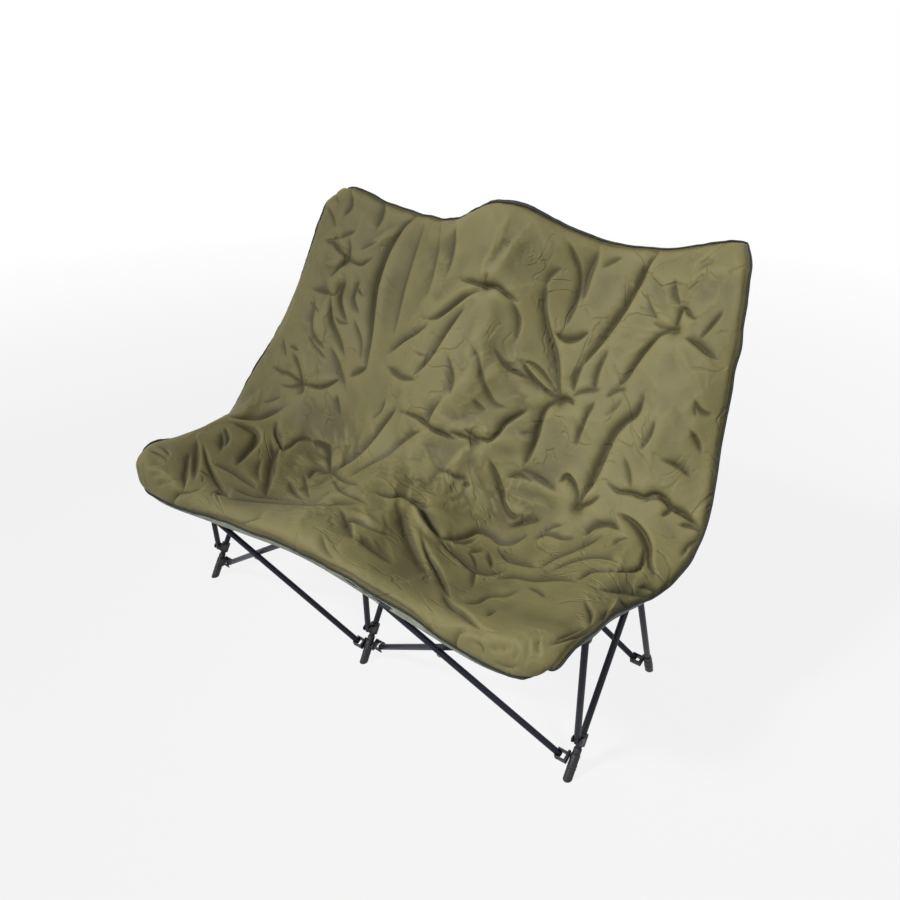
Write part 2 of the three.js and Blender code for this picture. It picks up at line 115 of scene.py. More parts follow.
# The cover's middle surface in millimetres, from its top edge over the crease to its front edge:
# Y and Z at the middle, Y and Z half-way along a bay, then X, Y and Z over a side frame and
# X, Y and Z at the side edge, with each X counted from the side frame.
STATIONS = (
    (510, 934, 545, 874, -47, 556, 908, -22, 568, 896),
    (470, 892, 523, 840, -35, 516, 868, 13, 512, 862),
    (425, 810, 476, 765, -24, 470, 792, 33, 468, 775),
    (369, 710, 424, 685, -17, 412, 700, 41, 425, 690),
    (308, 602, 374, 610, -14, 349, 600, 51, 385, 612),
    (262, 520, 325, 537, -12, 298, 520, 63, 345, 552),
    (226, 455, 280, 468, -10, 255, 455, 79, 300, 492),
    (196, 425, 248, 408, -10, 218, 425, 85, 255, 440),
    (158, 410, 210, 362, -8, 165, 410, 81, 205, 404),
    (105, 408, 155, 338, -6, 105, 408, 61, 145, 378),
    (50, 407, 90, 332, -6, 50, 407, 47, 85, 384),
    (0, 407, 30, 338, -6, 0, 407, 39, 20, 398),
    (-55, 407, -35, 350, -6, -55, 407, 39, -45, 409),
    (-105, 411, -95, 364, -11, -104, 412, 31, -93, 408),
    (-137, 400, -130, 369, -9, -138, 401, 27, -129, 395),
    (-146, 372, -143, 356, -24, -144, 358, 8, -137, 364),
)
CREASE_STATION = 7

# The share of the edge's band that lies above the middle surface, and the lowest place of the face
# under that surface in metres.
RIM_ABOVE = 0.33
LOWEST_FACE = -0.005

# The guides along which the cover's cells are spaced evenly: their samples, and where they run as
# shares across and along.
GUIDE_SAMPLES = 400
GUIDE_ACROSS = 0.5
GUIDE_ALONG = 0.45

# The padding's ruffles: height in metres, radians per metre and the seed of the noise. Then the
# share of them that is left at the edge.
RUFFLES = (
    (0.0030, 38, 5),
    (0.0022, 60, 3),
    (0.0009, 130, 8),
)
RUFFLED_EDGE = 0.4

# Distances in metres: over which the padding rounds off at the edge, within which the settling cloth
# is held at the edge and round a tuft, and from where and over how far its small folds grow inwards.
# Then the share of these folds that is kept.
ROUND_OFF = 0.024
HELD_EDGE = 0.004
HELD_TUFT = 0.009
SETTLED_START = 0.012
SETTLED_RUN = 0.07
SETTLED_SHARE = 0.65

# What the small folds and the traced folds lose: a share of their own blurred form, and the cells
# over which that is blurred.
SETTLED_LOSS = (0.85, 8)
TRACED_LOSS = (0.35, 5)

# The traced folds: how many times deeper they are than traced, pixels per traced millimetre of
# width, how many half widths away they are looked for, and the share of its width that a fold has
# at its ends.
FOLD_STRENGTH = 1.9
PIXELS_PER_MM = 0.5
FOLD_REACH = 7
END_WIDTH = 0.35

# A valley's two slopes, as shares of its half width, the narrowest lit slope in pixels, the rate
# and the power with which they fall off, and a ridge's width as a share of its half width.
SHADED_WIDTH = 2.6
LIT_WIDTH = 0.5
NARROWEST_LIT = 1.5
SLOPE_RATE = 1.5
SLOPE_POWER = 1.15
RIDGE_WIDTH = 1.3

# A valley's painted shade: the traced depth at which its painted core is fully dark, the core's half
# width in pixels and as a share of the valley's, then how dark the painted shade of the core and of
# the shaded slope is.
PAINTED_SHADE_DEPTH = 9
CORE_WIDTH = 0.9
CORE_WIDTH_SHARE = 0.3
CORE_PAINTED_SHADE = 0.8
SLOPE_PAINTED_SHADE = 0.25

# Each tuft's dimples, as depth and radius; the distance from the edge over which folds grow; the
# groove beside the piping, as depth, distance from the edge and width. All are in metres.
TUFT_DIMPLES = (
    (0.008, 0.020),
    (0.004, 0.006),
)
FOLD_RUN = 0.010
GROOVE = (0.0022, 0.006, 0.004)

# The puckers and the waves of the edge: height in metres, radians per metre, and the distance in
# metres over which they die away. Then their seeds.
PUCKERS = (0.0014, 260, 0.02)
PUCKER_SEED = 11
EDGE_WAVES = (0.0028, 80, 0.03)
WAVE_SEEDS = (21, 22, 23)

# The cloth's painted light and shade: the cells of the blur that heights are taken from, the height
# that is a whole tone of painted light or shade and the distance from the edge over which it grows,
# in metres, the painted shade in the groove beside the seam as tone, distance from the edge and
# width, and the painted shade that a dark fold takes away.
TONE_BLUR = 6
TONE_HEIGHT = 0.009
TONE_RUN = 0.020
SEAM_PAINTED_SHADE = (0.30, 0.005, 0.004)
FOLD_PAINTED_SHADE = 0.55

# The weave's map: the cover's width and a row's height in metres, as they are laid out flat.
FLAT_WIDTH = 1.2
FLAT_ROW = 0.0029

# How far the piping stands off the rim, in shares of its radius, and the share by which its
# thickness ripples, with radians per metre and a seed.
PIPING_UP = 0.45
PIPING_OUT = 0.5
PIPING_RIPPLE = 0.10
PIPING_RIPPLES = (240, 5)

# Where the left arm's piping is raised and thicker: centre and half widths as shares, across and
# along, then the rise in metres and the share by which it is thicker.
RAISED_PIPING = (-1, 0.8, 0.1, 0.18)
RAISED_BY = 0.0015
RAISED_THICKER = 0.5

# Where the top edge's dark piping is thicker, standing in for the dark lining of the rolled top edge
# and for painted shadow under it: centre and half width as shares across, then the share by which it
# is thicker.
THICK_PIPING = (
    (0.05, 0.16, 1.5),
    (0.3, 0.14, 0.7),
)

# Where the backing sags beside the outer frames: places as shares across, the share along, half
# widths as shares, and depth in metres. Then the distance over which it comes up to the front edge,
# where it hangs down, and how far below the middle surface it ends there.
SAGS_ACROSS = (-0.94, 0.94)
SAG_ALONG = 0.60
SAG_WIDTHS = (0.05, 0.09)
SAG_DEPTH = 0.018
HANG_RUN = 0.012
HANG_GAP = 0.001

# A valley's long shaded slope lies on the side that this run of pixels points to. Folds fade where
# the face's slant to the camera, as a cosine, is less than the second value.
SHADED_SIDE = (-0.75, -0.66)
GRAZING = 0.15

# Where the middle surface swells or sags between its stations: centre and half widths as shares,
# across and along, then the shift in millimetres.
SWELLS = (
    (-0.17, 0, 0.1, 0.12, (0, 0, -27)),
    (0.53, 0, 0.12, 0.1, (0, 0, -11)),
    (1, 0.02, 0.25, 0.06, (9, 0, 9)),
    (-1, 0.02, 0.25, 0.04, (-12, 0, 2)),
    (-1, 0.17, 0.4, 0.1, (7, 0, 0)),
    (1, 0.33, 0.4, 0.3, (6, 0, 0)),
    (-1, 0.66, 0.2, 0.12, (0, 0, -14)),
    (-0.6, 1, 0.2, 0.03, (0, 0, -24)),
    (0.52, 1, 0.13, 0.04, (0, 0, -12)),
)

# The same for the cloth alone, where it hangs a little off the middle surface of the solids.
NUDGES = (
    (0, 0, 0.12, 0.05, (13, 0, 2)),
    (-1, 0.45, 0.12, 0.06, (-7, 0, 0)),
    (-1, 0.75, 0.2, 0.13, (0, 0, -8)),
    (-1, 0.95, 0.1, 0.05, (20, 0, -2)),
    (-1, 0.85, 0.1, 0.05, (-6, 0, 4)),
    (-1, 0.64, 0.12, 0.06, (0, 0, -9)),
    (0.05, 1, 0.32, 0.035, (0, 0, 12)),
    (1, 1, 0.12, 0.035, (-12, 0, 10)),
    (0.9, 1, 0.2, 0.045, (-7, 4, 10)),
    (1, 0.3, 0.15, 0.25, (5, 0, 0)),
)

# Sewn tuft points, as pixels of the photo.
TUFT_PIXELS = (
    (348, 259),
    (301, 384),
    (485, 286),
    (561, 400),
    (675, 329),
    (476, 440),
    (329, 471),
    (417, 500),
    (577, 506),
)

# The cover's traced folds: depth and half width in millimetres (a depth below zero is a
# valley, above zero a ridge) and the pixels of the photo that the fold runs through.
FOLD_PIXELS = (
    (
        -10, 9,
        (416, 216), (404, 226), (396, 238), (388, 252), (381, 270), (376, 288), (373, 312),
        (371, 332), (368, 352), (365, 368),
    ),
    (-5, 5, (367, 366), (360, 372), (350, 376)),
    (-5, 4, (348, 259), (340, 252), (333, 244), (326, 241)),
    (-4, 4, (348, 259), (354, 263), (361, 265), (368, 261), (374, 256)),
    (-5, 5, (348, 259), (338, 268), (330, 277)),
    (-3, 4, (348, 259), (350, 247), (349, 238)),
    (-3, 3.5, (332, 241), (345, 236), (356, 231)),
    (-3, 4, (360, 250), (370, 245), (379, 241)),
    (-4, 6, (312, 289), (325, 293), (335, 295), (342, 283)),
    (-3, 4, (353, 282), (358, 291), (363, 296), (367, 287)),
    (-3, 4, (310, 301), (319, 312)),
    (-2.5, 4, (333, 315), (340, 323), (349, 324)),
    (-9, 6, (462, 280), (472, 283), (484, 286), (497, 288), (506, 295), (516, 301)),
    (-4, 4, (483, 284), (488, 272)),
    (-8, 6, (481, 289), (469, 294), (458, 302), (448, 310), (436, 318), (424, 319)),
    (-9, 8, (464, 308), (454, 320), (444, 334), (434, 350), (424, 364), (412, 376)),
    (-6, 6, (428, 323), (416, 333), (403, 341), (390, 352)),
    (-4, 5, (469, 342), (478, 357), (482, 375), (488, 391), (496, 404), (507, 408)),
    (-3, 4, (474, 400), (485, 411)),
    (-2.5, 8, (441, 223), (438, 248), (431, 280), (425, 300)),
    (-2.5, 7, (424, 226), (413, 258), (402, 296), (393, 338)),
    (-6, 7, (568, 241), (575, 253), (581, 268), (582, 285), (577, 302), (567, 325)),
    (-6, 11, (547, 285), (545, 305), (549, 328), (556, 352), (559, 378), (560, 396)),
    (-7, 7, (555, 333), (566, 341), (577, 340), (589, 332)),
    (
        -12, 9,
        (657, 253), (649, 264), (641, 281), (633, 295), (624, 310), (612, 328), (600, 344),
        (590, 356), (583, 364),
    ),
    (-5, 5, (608, 350), (602, 362), (597, 376), (594, 392)),
    (-5, 5, (583, 364), (577, 376), (573, 392)),
    (-8, 6, (677, 328), (661, 334), (652, 343), (644, 353), (634, 367), (625, 380), (618, 386)),
    (-6, 4, (675, 328), (679, 318), (684, 309), (690, 316), (698, 320)),
    (-4, 4, (653, 322), (663, 328), (675, 329)),
    (-3, 4, (646, 291), (651, 307), (658, 320)),
    (-4, 3.5, (723, 312), (713, 325), (705, 334), (698, 341)),
    (-6, 7, (684, 337), (695, 344), (706, 353), (716, 359)),
    (3.5, 6, (722, 250), (705, 259), (690, 270)),
    (3, 5, (715, 265), (700, 275), (690, 285)),
    (-3, 4, (607, 397), (617, 391), (626, 390)),
    (-4, 4, (571, 397), (580, 393), (590, 391), (599, 390)),
    (-6, 5, (523, 363), (533, 376), (544, 387), (558, 398)),
    (-4, 5, (523, 363), (530, 362), (540, 368), (552, 383), (559, 397)),
    (-3, 6, (545, 286), (552, 276), (563, 268)),
    (-3, 4, (603, 268), (613, 262), (622, 257)),
    (-2, 4, (500, 355), (508, 368), (517, 375)),
    (-6, 5, (301, 384), (310, 386), (321, 388), (333, 383), (341, 377)),
    (-4, 3.5, (301, 384), (300, 372), (297, 361), (293, 354)),
    (-4, 3.5, (301, 384), (292, 377), (283, 371)),
    (-3, 3.5, (301, 384), (291, 387), (281, 385)),
    (-3, 3.5, (301, 384), (302, 391), (296, 394)),
    (-3, 3.5, (286, 375), (280, 372), (273, 367)),
    (-3, 3.5, (289, 346), (298, 351)),
    (-3, 3.5, (261, 402), (270, 401), (280, 397)),
    (-2.5, 3.5, (283, 338), (286, 357)),
    (-12, 10, (229, 415), (243, 417), (260, 417), (272, 413), (281, 409)),
    (
        -6, 4.5,
        (276, 424), (276, 434), (279, 442), (283, 449), (290, 446), (298, 440), (307, 439),
        (313, 441),
    ),
    (-5, 4.5, (313, 441), (322, 443), (329, 447), (330, 457), (329, 470)),
    (-10, 7.5, (394, 411), (383, 425), (371, 440), (359, 453), (346, 463), (331, 470)),
    (-5, 6, (422, 431), (412, 435), (400, 444), (388, 454), (375, 461), (362, 468), (351, 476)),
    (-4, 4, (330, 470), (342, 480), (358, 485)),
    (-4, 5, (332, 478), (340, 490), (352, 496), (367, 503)),
    (-4, 5, (305, 476), (307, 488), (310, 498)),
    (-4, 5, (328, 470), (316, 470), (309, 479)),
    (-4, 8, (272, 440), (275, 460), (274, 478)),
    (-6, 4, (401, 412), (412, 416), (421, 421), (432, 430), (444, 435), (453, 439)),
    (-4, 3.5, (450, 432), (460, 436), (470, 440), (471, 448)),
    (-4, 4, (463, 429), (470, 435), (476, 440)),
    (-8, 6, (478, 439), (489, 441), (497, 435), (506, 424), (516, 417), (526, 411)),
    (-4, 4, (440, 470), (448, 472), (456, 477), (467, 479)),
    (-3, 4, (463, 485), (470, 485)),
    (-6, 7, (490, 461), (497, 474), (502, 490), (505, 504), (511, 513), (520, 518)),
    (-3.5, 6, (506, 477), (520, 477), (533, 481)),
    (-8, 7, (557, 401), (547, 408), (541, 422), (536, 440), (530, 455), (524, 466)),
    (-6, 5, (594, 403), (587, 415), (581, 430), (576, 444)),
    (-5, 3.5, (558, 400), (568, 400), (574, 405)),
    (
        -12, 9,
        (643, 399), (637, 414), (625, 423), (614, 436), (607, 450), (600, 466), (593, 481),
        (584, 494), (575, 507),
    ),
    (-7, 6, (558, 482), (567, 475), (575, 484), (577, 496), (575, 506)),
    (-6, 4, (599, 496), (590, 503), (576, 507)),
    (
        -8, 5,
        (608, 484), (618, 492), (631, 494), (643, 498), (655, 495), (663, 499), (670, 508),
        (683, 515), (696, 525), (704, 531),
    ),
    (-4, 3.5, (642, 503), (652, 499), (660, 500), (668, 507)),
    (-5, 4, (662, 516), (668, 513), (674, 507)),
    (-3, 4, (624, 458), (629, 472), (631, 491)),
    (-3.5, 4, (662, 460), (672, 464), (682, 470), (690, 477)),
    (-9, 8, (620, 514), (632, 520), (643, 531), (650, 545), (651, 560), (655, 572)),
    (-7, 7, (586, 534), (595, 527), (608, 525), (619, 529)),
    (-3, 3.5, (613, 544), (620, 539), (629, 537)),
    (-2.5, 4, (695, 404), (697, 418)),
    (-2.5, 4, (603, 417), (615, 409), (622, 399)),
    (-5, 5, (701, 540), (690, 546), (682, 557)),
    (-5, 4, (702, 532), (690, 527), (680, 525)),
    (-5, 4, (143, 468), (152, 464), (164, 463)),
    (-8, 6, (171, 504), (176, 496), (187, 492), (203, 487)),
    (-6, 4.5, (204, 446), (209, 462), (217, 478), (223, 488), (229, 497)),
    (-5, 4, (216, 493), (224, 494), (229, 497)),
    (-5, 6, (214, 463), (232, 472), (246, 481), (258, 489)),
    (-8, 9, (238, 464), (249, 452), (258, 440), (257, 431), (246, 425), (232, 421)),
    (-4, 5, (225, 447), (229, 438), (226, 428)),
    (-6, 11, (197, 440), (198, 460), (195, 480)),
    (-3, 4, (168, 465), (170, 480), (171, 497)),
    (-3, 4, (264, 513), (252, 518), (243, 526)),
    (-4, 7, (229, 499), (270, 502), (312, 504), (362, 503)),
    (
        -12, 8,
        (380, 494), (390, 496), (401, 495), (411, 498), (420, 505), (426, 517), (433, 529),
        (441, 537),
    ),
    (-4, 5, (420, 500), (427, 505), (432, 505)),
    (4, 4, (414, 506), (419, 519), (428, 531), (437, 539)),
    (
        -8, 5.5,
        (441, 537), (452, 539), (466, 537), (479, 532), (491, 536), (501, 543), (511, 543),
        (525, 536),
    ),
    (-4, 4, (452, 541), (466, 543), (478, 538)),
    (-6, 6, (340, 518), (357, 522), (374, 529), (391, 535)),
    (4, 6, (350, 513), (366, 518), (380, 527)),
    (-5, 18, (352, 535), (375, 550), (395, 565)),
    (-7, 7, (443, 593), (452, 604), (463, 611), (477, 624), (487, 637)),
    (-6, 6, (455, 652), (456, 640), (463, 630), (475, 632), (487, 638)),
    (-3.5, 5, (322, 534), (326, 548), (334, 559)),
    (-6, 7, (443, 544), (458, 557), (475, 571), (491, 574), (506, 570)),
    (-3, 3.5, (469, 552), (477, 551), (484, 549)),
    (-5, 5.5, (512, 526), (525, 523), (539, 520)),
    (-4.5, 4, (537, 538), (545, 534), (553, 535), (561, 538), (573, 538)),
    (-4, 4, (544, 532), (552, 527), (561, 525)),
    (-5, 5, (500, 552), (508, 560), (521, 564), (537, 567)),
    (-4, 5, (540, 568), (553, 559), (570, 552), (586, 545), (600, 537)),
    (-4, 5, (553, 570), (575, 560), (600, 557), (625, 563)),
    (
        -10, 5,
        (580, 578), (592, 571), (605, 570), (621, 570), (636, 570), (643, 565), (645, 551),
        (642, 540),
    ),
    (-4, 7, (499, 578), (515, 577), (535, 580), (560, 579), (576, 581)),
    (-4, 4.5, (463, 603), (478, 602), (490, 596), (506, 595), (519, 590)),
    (-3, 3.5, (530, 588), (538, 591), (545, 597)),
    (-2.5, 3.5, (486, 616), (497, 610)),
    (2.5, 3.5, (618, 598), (613, 609), (610, 620)),
    (-3, 4, (608, 610), (603, 622)),
    (-5, 5, (635, 586), (648, 588), (660, 593)),
    (-4, 5, (585, 600), (592, 612), (590, 625)),
    (-4, 4, (525, 665), (528, 651), (529, 638)),
    (-4, 4, (541, 655), (538, 645), (541, 637)),
    (-3.5, 4, (489, 649), (502, 650), (514, 648)),
    (-3, 3.5, (494, 662), (505, 668), (519, 667)),
    (-5, 5, (556, 640), (570, 633), (586, 627)),
    (-4, 6, (350, 187), (352, 205), (345, 216)),
    (-5, 10, (385, 200), (382, 215), (377, 228)),
    (-3, 5, (325, 205), (332, 215), (336, 228)),
    (-8, 11, (190, 450), (188, 468), (183, 486), (176, 500)),
    (-5, 3.5, (149, 450), (160, 454), (168, 460)),
    (-5, 3.5, (151, 476), (160, 474), (167, 477)),
    (-4, 3.5, (156, 445), (165, 449), (170, 456)),
    (-5, 3.5, (158, 486), (168, 482), (176, 484)),
    (-5, 7, (222, 432), (224, 441), (221, 450)),
    (-5, 4, (240, 523), (252, 519), (263, 516)),
    (-4, 4, (200, 470), (211, 476), (220, 480)),
    (-7, 20, (402, 514), (413, 543), (428, 574)),
    (-6, 18, (598, 588), (626, 592), (652, 598)),
    (-5, 4, (548, 645), (566, 639), (584, 633), (602, 626)),
    (-4, 3.5, (470, 640), (480, 646), (484, 656)),
    (-4, 3.5, (512, 640), (516, 652), (514, 662)),
    (-4, 3.5, (620, 600), (628, 606), (632, 616)),
    (-5, 12, (455, 225), (452, 250), (446, 275)),
    (-5, 14, (600, 250), (590, 275), (583, 300)),
    (-5, 16, (520, 470), (540, 480), (556, 492)),
    (-4, 14, (330, 345), (338, 365), (345, 385)),
    (-5, 6, (345, 282), (341, 300), (346, 322)),
    (-4, 5, (360, 280), (354, 298), (359, 315)),
    (-6, 7, (330, 290), (332, 320), (340, 340), (344, 355)),
    (-5, 8, (315, 300), (312, 330), (325, 350)),
    (-4, 5, (354, 320), (361, 340), (360, 360)),
    (-4, 6, (305, 330), (315, 346), (327, 360)),
    (-3, 5, (337, 395), (338, 405), (340, 415)),
    (-5, 8, (388, 368), (400, 378), (415, 380)),
    (-4, 3.5, (412, 350), (420, 355), (440, 352)),
    (-4, 8, (447, 355), (452, 375), (450, 395)),
    (-4, 8, (512, 300), (520, 320), (517, 340)),
    (-4, 4, (495, 350), (504, 364), (520, 375), (537, 380)),
    (-3, 3.5, (335, 192), (337, 199), (341, 203)),
    (-3, 5, (572, 245), (575, 256), (575, 267)),
    (-4, 4, (675, 280), (676, 293), (680, 305)),
    (-4, 5, (695, 400), (702, 410), (712, 415)),
    (-6, 5, (423, 539), (430, 555), (439, 570), (450, 597)),
    (-4, 5, (468, 550), (476, 560), (473, 586)),
    (-3, 4, (489, 552), (492, 561), (491, 570)),
    (-6, 9, (280, 447), (273, 465), (270, 482), (265, 500)),
    (-4, 8, (262, 457), (259, 470), (260, 482)),
    (-4, 5, (290, 482), (296, 492), (305, 500)),
    (-5, 5, (237, 490), (250, 495), (265, 497), (300, 500)),
    (-5, 10, (342, 510), (350, 524), (355, 540)),
    (-4, 4, (690, 430), (698, 440), (702, 452)),
    (-4, 5, (655, 420), (650, 436), (640, 450)),
    (-3, 4, (540, 425), (533, 432), (520, 434)),
    (-4, 6, (440, 400), (430, 415), (425, 432)),
    (-3, 4, (385, 400), (380, 412), (370, 420)),
)


# Properties
def length_setting(name, description, default):
    return FloatProperty(name=name, description=description, default=default, unit="LENGTH")


def lean_setting(name, description, degrees):
    return FloatProperty(
        name=name, description=description, default=math.radians(degrees), unit="ROTATION"
    )


def count_setting(name, description, default, low, high):
    return IntProperty(name=name, description=description, default=default, min=low, max=high)


def colour_setting(name, description, default):
    return FloatVectorProperty(
        name=name, description=description, default=default, subtype="COLOR", size=3
    )


class LOVESEAT_PG_frame(bpy.types.PropertyGroup):
    """Sizes of the folding frame."""

    bay_width: length_setting("Bay width", "Distance from one side frame to the next", 0.527)
    tube_radius: length_setting("Tube radius", "Radius of every tube", 0.0065)
    pole_length: length_setting("Pole length", "Length of each long pole", 1.005)
    side_lean: lean_setting("Side lean", "Lean of the outer poles from the vertical", 32.2)
    middle_lean: lean_setting("Middle lean", "Lean of the middle pole from the vertical", 29.3)
    tube_sides: count_setting("Tube sides", "Faces round each tube", 32, 12, 64)


class LOVESEAT_PG_cover(bpy.types.PropertyGroup):
    """Sizes of the padded cover."""

    padding: length_setting("Padding", "Height of the padded face above the middle surface", 0.013)
    backing: length_setting("Backing", "Depth of the backing below the middle surface", 0.009)
    columns: count_setting("Columns", "Cloth cells across the cover", 200, 40, 400)
    rows: count_setting("Rows", "Cloth cells from top to front edge", 170, 30, 300)
    slack: FloatProperty(
        name="Slack",
        description="How much longer the cloth is than the surface it covers",
        default=0.035,
        subtype="FACTOR",
    )
    frames: count_setting("Frames", "Steps of the cloth settling", 22, 1, 60)
    cap: length_setting("Cap", "Furthest that a small fold may stand out", 0.006)
    piping_radius: length_setting("Piping radius", "Radius of the cord round the face", 0.0021)
    gusset: length_setting("Gusset", "Height of the band round the edge", 0.011)
    simulate: BoolProperty(
        name="Simulate", description="Settle the cloth before the cover is closed", default=True
    )


class LOVESEAT_PG_colours(bpy.types.PropertyGroup):
    """Colours of the finishes."""

    cloth: colour_setting("Cloth", "Olive face cloth", (0.21, 0.187, 0.079))
    backing: colour_setting("Backing", "Dark cloth under the cover", (0.020, 0.023, 0.034))
    piping: colour_setting("Piping", "Bound edge", (0.011, 0.012, 0.008))
    # The hem's pale colour is partly its own paler cloth and partly painted sheen and light from the
    # floor.
    hem: colour_setting("Hem", "Pale band between face and backing", (0.25, 0.27, 0.21))
    tube: colour_setting("Tube", "Painted steel tube", (0.010, 0.012, 0.024))
    plastic: colour_setting("Plastic", "Moulded joints", (0.008, 0.008, 0.011))
    dark_pin: colour_setting("Dark pin", "Tarnished steel", (0.09, 0.09, 0.10))
    bright_pin: colour_setting("Bright pin", "Rubbed steel", (0.22, 0.22, 0.23))


class LOVESEAT_PG_settings(bpy.types.PropertyGroup):
    """All settings of the loveseat."""

    frame: PointerProperty(
        name="Frame", description="Sizes of the folding frame", type=LOVESEAT_PG_frame
    )
    cover: PointerProperty(
        name="Cover", description="Sizes of the padded cover", type=LOVESEAT_PG_cover
    )
    colours: PointerProperty(
        name="Colours", description="Colours of the finishes", type=LOVESEAT_PG_colours
    )


def settings():
    return bpy.context.scene.loveseat


# Materials
class Wire:
    """A node socket that can be added to, subtracted from and multiplied."""

    def __init__(self, paint, socket):
        self.paint = paint
        self.socket = socket

    def _math(self, operation, other, swap=False):
        node = self.paint.tree.nodes.new("ShaderNodeMath")
        node.operation = operation
        pair = (other, self) if swap else (self, other)
        for slot, value in zip(node.inputs, pair):
            self.paint.feed(slot, value)
        return Wire(self.paint, node.outputs[0])

    def __add__(self, other):
        return self._math("ADD", other)

    def __radd__(self, other):
        return self._math("ADD", other, swap=True)

    def __sub__(self, other):
        return self._math("SUBTRACT", other)

    def __rsub__(self, other):
        return self._math("SUBTRACT", other, swap=True)

    def __mul__(self, other):
        return self._math("MULTIPLY", other)

    def __rmul__(self, other):
        return self._math("MULTIPLY", other, swap=True)

    def clamp(self):
        node = self.paint.tree.nodes.new("ShaderNodeClamp")
        self.paint.feed(node.inputs[0], self)
        return Wire(self.paint, node.outputs[0])


class Paint:
    """A material under construction."""

    def __init__(self, name):
        self.material = bpy.data.materials.new(name)
        self.material.use_nodes = True
        self.tree = self.material.node_tree
        self.shader = self.tree.nodes["Principled BSDF"]
        self.coords = self.tree.nodes.new("ShaderNodeTexCoord")

    def feed(self, slot, value):
        if isinstance(value, Wire):
            self.tree.links.new(value.socket, slot)
        elif isinstance(value, (tuple, list)) and len(value) == 3 and slot.type == "RGBA":
            slot.default_value = (*value, 1)
        else:
            slot.default_value = value

    def node(self, kind, output=0, inputs=None, **options):
        made = self.tree.nodes.new("ShaderNode" + kind)
        for key, value in options.items():
            setattr(made, key, value)
        for key, value in (inputs or {}).items():
            self.feed(made.inputs[key], value)
        return Wire(self, made.outputs[output])

    def object_coords(self, scale=(1, 1, 1)):
        plain = Wire(self, self.coords.outputs["Object"])
        return self.node("Mapping", inputs={"Vector": plain, "Scale": scale})

    def uv_coords(self):
        return Wire(self, self.coords.outputs["UV"])

    def noise(self, vector, scale, detail=3, roughness=0.5, distortion=0):
        return self.node(
            "TexNoise",
            inputs={
                "Vector": vector,
                "Scale": scale,
                "Detail": detail,
                "Roughness": roughness,
                "Distortion": distortion,
            },
        )

    def ramp(self, value, stops):
        made = self.tree.nodes.new("ShaderNodeValToRGB")
        elements = made.color_ramp.elements
        while len(elements) < len(stops):
            elements.new(0.5)
        for element, (at, colour) in zip(elements, stops):
            element.position = at
            element.color = (*colour, 1)
        self.feed(made.inputs[0], value)
        return Wire(self, made.outputs[0])

    def mottled(self, pattern, base, dark, pale, spread=0.2):
        """A colour that drifts from a darker to a paler share of the base."""
        stops = ((0.5 - spread, shade(base, dark)), (0.5 + spread, shade(base, pale)))
        return self.ramp(pattern, stops)

    def bump(self, height, distance, strength, normal=None):
        inputs = {"Height": height, "Distance": distance, "Strength": strength}
        if normal is not None:
            inputs["Normal"] = normal
        return self.node("Bump", inputs=inputs)

    def done(self, **sockets):
        for key, value in sockets.items():
            self.feed(self.shader.inputs[key.replace("_", " ")], value)
        return self.material


def shade(colour, share):
    return tuple(min(1.0, c * share) for c in colour)


def face_cloth():
    """Olive nylon with a slight sheen, with painted light on crests and painted shade in the folds."""
    base = tuple(settings().colours.cloth)
    paint = Paint("olive_face_cloth")
    place = paint.object_coords()
    # Painted light and shade, kept on the face's vertices: paler on crests, darker in the folds.
    fold = paint.node("Attribute", output="Fac", attribute_name="fold")
    drift = paint.noise(place, scale=5)
    grain = paint.noise(place, scale=160, detail=4, roughness=0.6)
    # The tone mixes the painted light and shade with the cloth's random drift and grain.
    tone = (fold * 0.75 + drift * 0.42 + grain * 0.06 - 0.12).clamp()
    shades = ((0.0, 0.26), (0.34, 0.66), (0.52, 1), (0.85, 1.2))
    stretched = paint.object_coords((1, 1.6, 1))
    creases = paint.noise(stretched, scale=34, detail=5, roughness=0.55, distortion=0.6)
    soft = paint.bump(creases, distance=0.0035, strength=0.5)
    bend = paint.noise(paint.object_coords((1, 1.3, 0.8)), scale=7, distortion=1.4) - 0.5
    lines = (bend * bend * 900).clamp()
    patches = ((paint.noise(place, scale=11, detail=2) - 0.46) * 12).clamp()
    sharp = paint.bump(1 - (1 - lines) * patches, distance=0.0022, strength=0.7, normal=soft)
    threads = [
        paint.node(
            "TexWave",
            inputs={"Vector": paint.uv_coords(), "Scale": 320, "Distortion": 0.4},
            wave_type="BANDS",
            bands_direction=direction,
        )
        for direction in "XY"
    ]
    return paint.done(
        Base_Color=paint.ramp(tone, [(at, shade(base, share)) for at, share in shades]),
        Roughness=0.50 + grain * 0.16,
        Sheen_Weight=0.06,
        Sheen_Roughness=0.4,
        Specular_IOR_Level=0.25,
        Normal=paint.bump(threads[0] * threads[1], distance=0.00008, strength=0.2, normal=sharp),
    )


def dark_cloth(name, base, threads=900):
    """Plain dark cloth with a fine weave and soft ripples."""
    paint = Paint(name)
    place = paint.object_coords()
    drift = paint.noise(place, scale=14)
    weave = paint.node("TexVoronoi", inputs={"Vector": place, "Scale": threads}, feature="F1")
    ripple = paint.bump(paint.noise(place, scale=45, detail=4), distance=0.002, strength=0.4)
    return paint.done(
        Base_Color=paint.mottled(drift, base, 0.8, 1.35),
        Roughness=0.72 + drift * 0.12,
        Sheen_Weight=0.15,
        Normal=paint.bump(weave, distance=0.0002, strength=0.4, normal=ripple),
    )


def piping_cloth(name, base):
    """Bound cloth, striped across its length and puckered."""
    paint = Paint(name)
    place = paint.object_coords()
    stripe = paint.node(
        "TexWave",
        inputs={"Vector": paint.uv_coords(), "Scale": 1, "Distortion": 1.2},
        bands_direction="X",
    )
    drift = paint.noise(place, scale=40)
    pucker = paint.bump(paint.noise(place, scale=120), distance=0.0012, strength=0.6)
    return paint.done(
        Base_Color=paint.mottled(drift, base, 0.7, 1.5, spread=0.25),
        Roughness=0.6 + drift * 0.15,
        Normal=paint.bump(stripe, distance=0.0002, strength=0.3, normal=pucker),
    )


